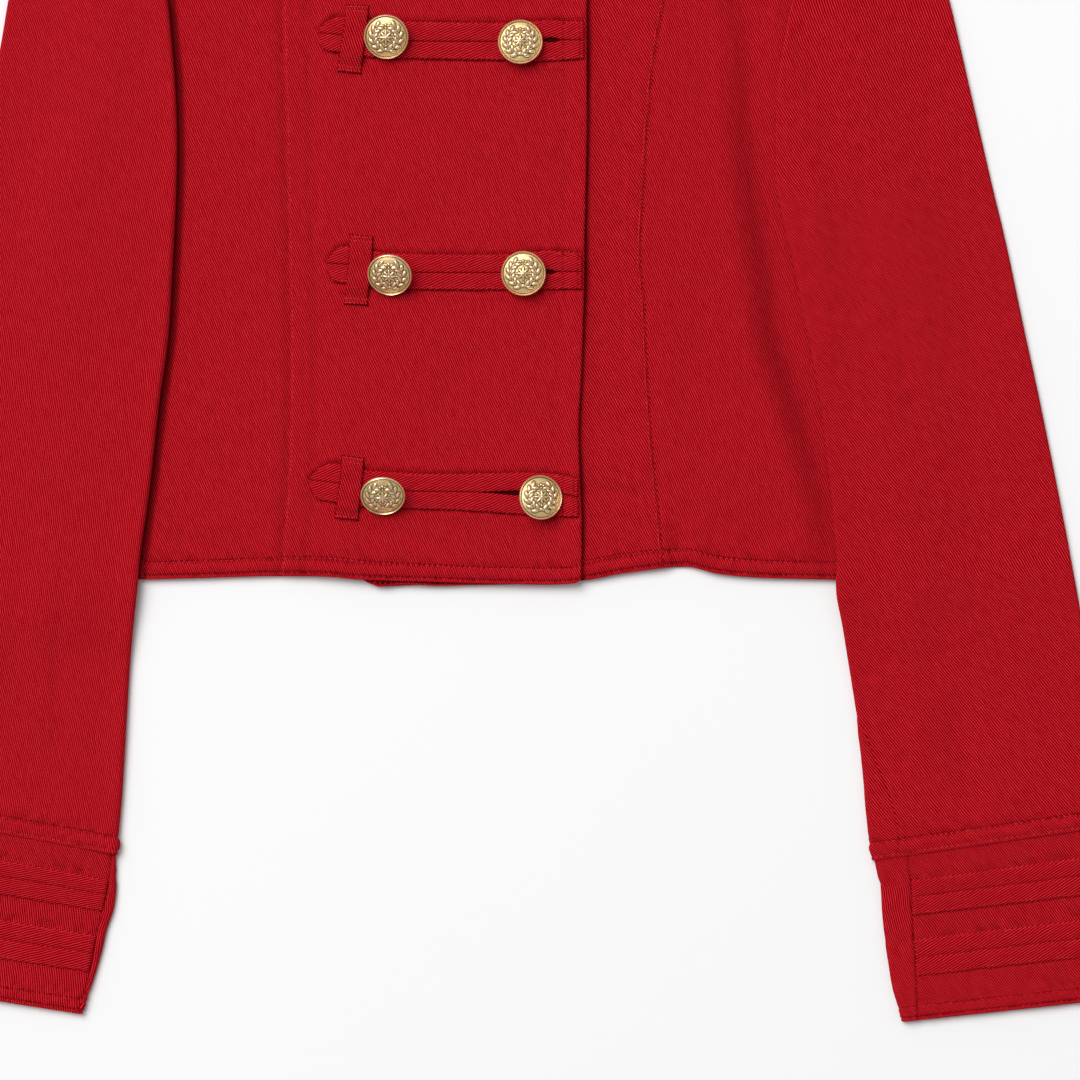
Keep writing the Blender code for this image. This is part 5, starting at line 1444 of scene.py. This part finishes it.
def sewTapes():
    tapes, soft, deep, pale = [], [], [], []
    for name in tapeNames:
        row = frontTapes[name]
        startX, tipX = row["stations"][0][0], row["tip"][0]
        x = np.arange(row["stations"][-1][0] - 6.0, startX - 1.0, 1.2)
        upper, _, lower, _ = tapeOutline(row, x)
        for y in (upper - 1.1, lower + 1.1):
            tapes.append(np.column_stack([x, y, tapeTop(x, y) + 0.02]))
        # painted shade: dark beads above the upper and below the lower tape edges
        for lines, end, column, shift in ((soft, 2.5, 0, 0.6), (deep, 6.0, 2, -0.25)):
            x = np.arange(tipX + end, startX - 0.5, 1.0)
            y = tapeOutline(row, x)[column] + shift
            lines.append(np.column_stack([x, y, rightTop(x, y) + tapeSurround(x, y) + 0.12]))
        for x in (46.0, startX - 1.4):
            y = np.linspace(float(stationAt(row, x, 3)) + 0.8, float(stationAt(row, x, 1)) - 0.8, 18)
            x = x + 0 * y
            tapes.append(np.column_stack([x, y, tapeTop(x, y) + 0.1]))
            soft.append(np.column_stack([x - 0.8, y, tapeTop(x, y) + 0.22]))
        tab = "tab" + name.capitalize()
        outside, length = shells[tab]["outside"], shells[tab]["rows"][-1]
        pale += [rowLine(tab, distance, 0.12, 3) for distance in (0.7, 3.0, length - 0.8, length - 3.0)]
        # painted shadow beads along the tab's edges
        soft.append(outside[3:-3, 0] + np.array([-0.35, 0.0, -0.75]))
        soft.append(outside[0, 2:-2] + np.array([0.0, 0.35, -0.75]))
        deep.append(outside[2:-1, -1] + np.array([0.25, 0.0, -0.85]))
        deep.append(outside[-1, 2:-1] + np.array([0.0, -0.25, -0.85]))
    threads, edges, folds = [], [], []
    for side in bothSides:
        for part in ("Upper", "Lower"):
            outside = shells[f"{side}CuffTape{part}"]["outside"]
            middle = len(outside) // 2
            threads += [lineFrom(outside[index], 0, 0.02) for index in (3, middle, len(outside) - 4)]
            # painted shade along the fold and below the lower edge of each cuff tape
            folds.append(lineFrom(outside[middle], 0, -0.1))
            edges.append(lineFrom(outside[-1], -0.45, -0.8))
    pitch = sewing["tapePitch"]
    for name, lines, gap, bead, lean, material in (
            ("tapeStitches", tapes, pitch, "tapeThread", 0.1, sewingThread),
            ("tabStitches", pale, 1.9, "tabThread", 0.1, paleThread),
            ("tapeStitchesShade", deep, pitch, "tapeShade", 0.15, deepShade),
            ("tapePuckerShade", soft, pitch, "pucker", 0.2, softShade),
            ("cuffTapeStitches", threads, pitch, "tapeThread", 0.1, sewingThread),
            ("cuffTapeShade", folds, pitch, "tapeShade", 0.15, deepShade),
            ("cuffTapeEdgeShade", edges, 1.7, "edgeShade", 0.15, deepShade)):
        sewnPiece(name, lines, gap, beads[bead], lean, material)


sewLongRows()
sewTapes()
print("sewing made")


# floor, light and camera

studio = {"floor": 0.88, "floorReach": 4.0, "floorHeight": -0.0002, "fill": 0.25, "horizon": 2.1,
          "overhead": 0.75, "softboxPower": 655.0, "softboxSize": 5.8, "softboxFrom": (-3.07, 3.38, 6.35),
          "centre": (33.5, -185.4), "viewWidth": 556.2, "away": 2.0, "sensor": 36.0}
# centre, viewWidth and sensor in millimetres, the other lengths in metres


def buildStage():
    reach, low = studio["floorReach"], studio["floorHeight"]
    mesh = bpy.data.meshes.new("floor")
    mesh.from_pydata([(x * reach, y * reach, low) for x, y in ((-1, -1), (1, -1), (1, 1), (-1, 1))], [],
                     [(0, 1, 2, 3)])
    material, tree, shader = newMaterial("paleFloor")
    colour = (studio["floor"], studio["floor"], studio["floor"], 1.0)
    fill(tree, shader, {"Base Color": colour, "Roughness": 0.9, "Specular IOR Level": 0.1})
    mesh.materials.append(material)
    light = bpy.data.lights.new("softbox", "AREA")
    light.energy, light.size = studio["softboxPower"], studio["softboxSize"]
    softbox = newObject("softbox", light)
    centre = Vector((studio["centre"][0] * mm, studio["centre"][1] * mm, 0.0))
    softbox.location = centre + Vector(studio["softboxFrom"])
    softbox.rotation_euler = (centre - softbox.location).to_track_quat("-Z", "Y").to_euler()
    for piece in (newObject("floor", mesh), softbox):
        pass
    world = bpy.data.worlds.new("studio")
    bpy.context.scene.world = world
    world.use_nodes = True
    tree = world.node_tree
    direction = addNode(tree, "ShaderNodeTexCoord", (), "Generated")
    height = calc(tree, "MAXIMUM", addNode(tree, "ShaderNodeSeparateXYZ", {0: direction}, "Z"), 0.0)
    level = calc(tree, "MULTIPLY_ADD", calc(tree, "MULTIPLY", height, height),
                 studio["overhead"] - studio["horizon"], studio["horizon"])
    fill(tree, tree.nodes["Background"].inputs, {"Color": (1.0, 1.0, 1.0, 1.0),
                                                 "Strength": calc(tree, "MULTIPLY", level, studio["fill"])})
    data = bpy.data.cameras.new("camera")
    data.sensor_width = studio["sensor"]
    data.lens = studio["sensor"] * studio["away"] / (studio["viewWidth"] * mm)
    data.clip_end = 20.0
    camera = newObject("camera", data)
    camera.location = centre + Vector((0.0, 0.0, studio["away"]))
    bpy.context.scene.camera = camera
    bpy.context.scene.view_settings.view_transform = "Standard"


buildStage()
print("floor, light and camera made")


# every piece rides on the one body, and the solid it stands for is hidden


for piece, node, sheet in finished:
    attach(piece, "root")
    if node:
        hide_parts(node)

print("pieces declared:", len(finished))
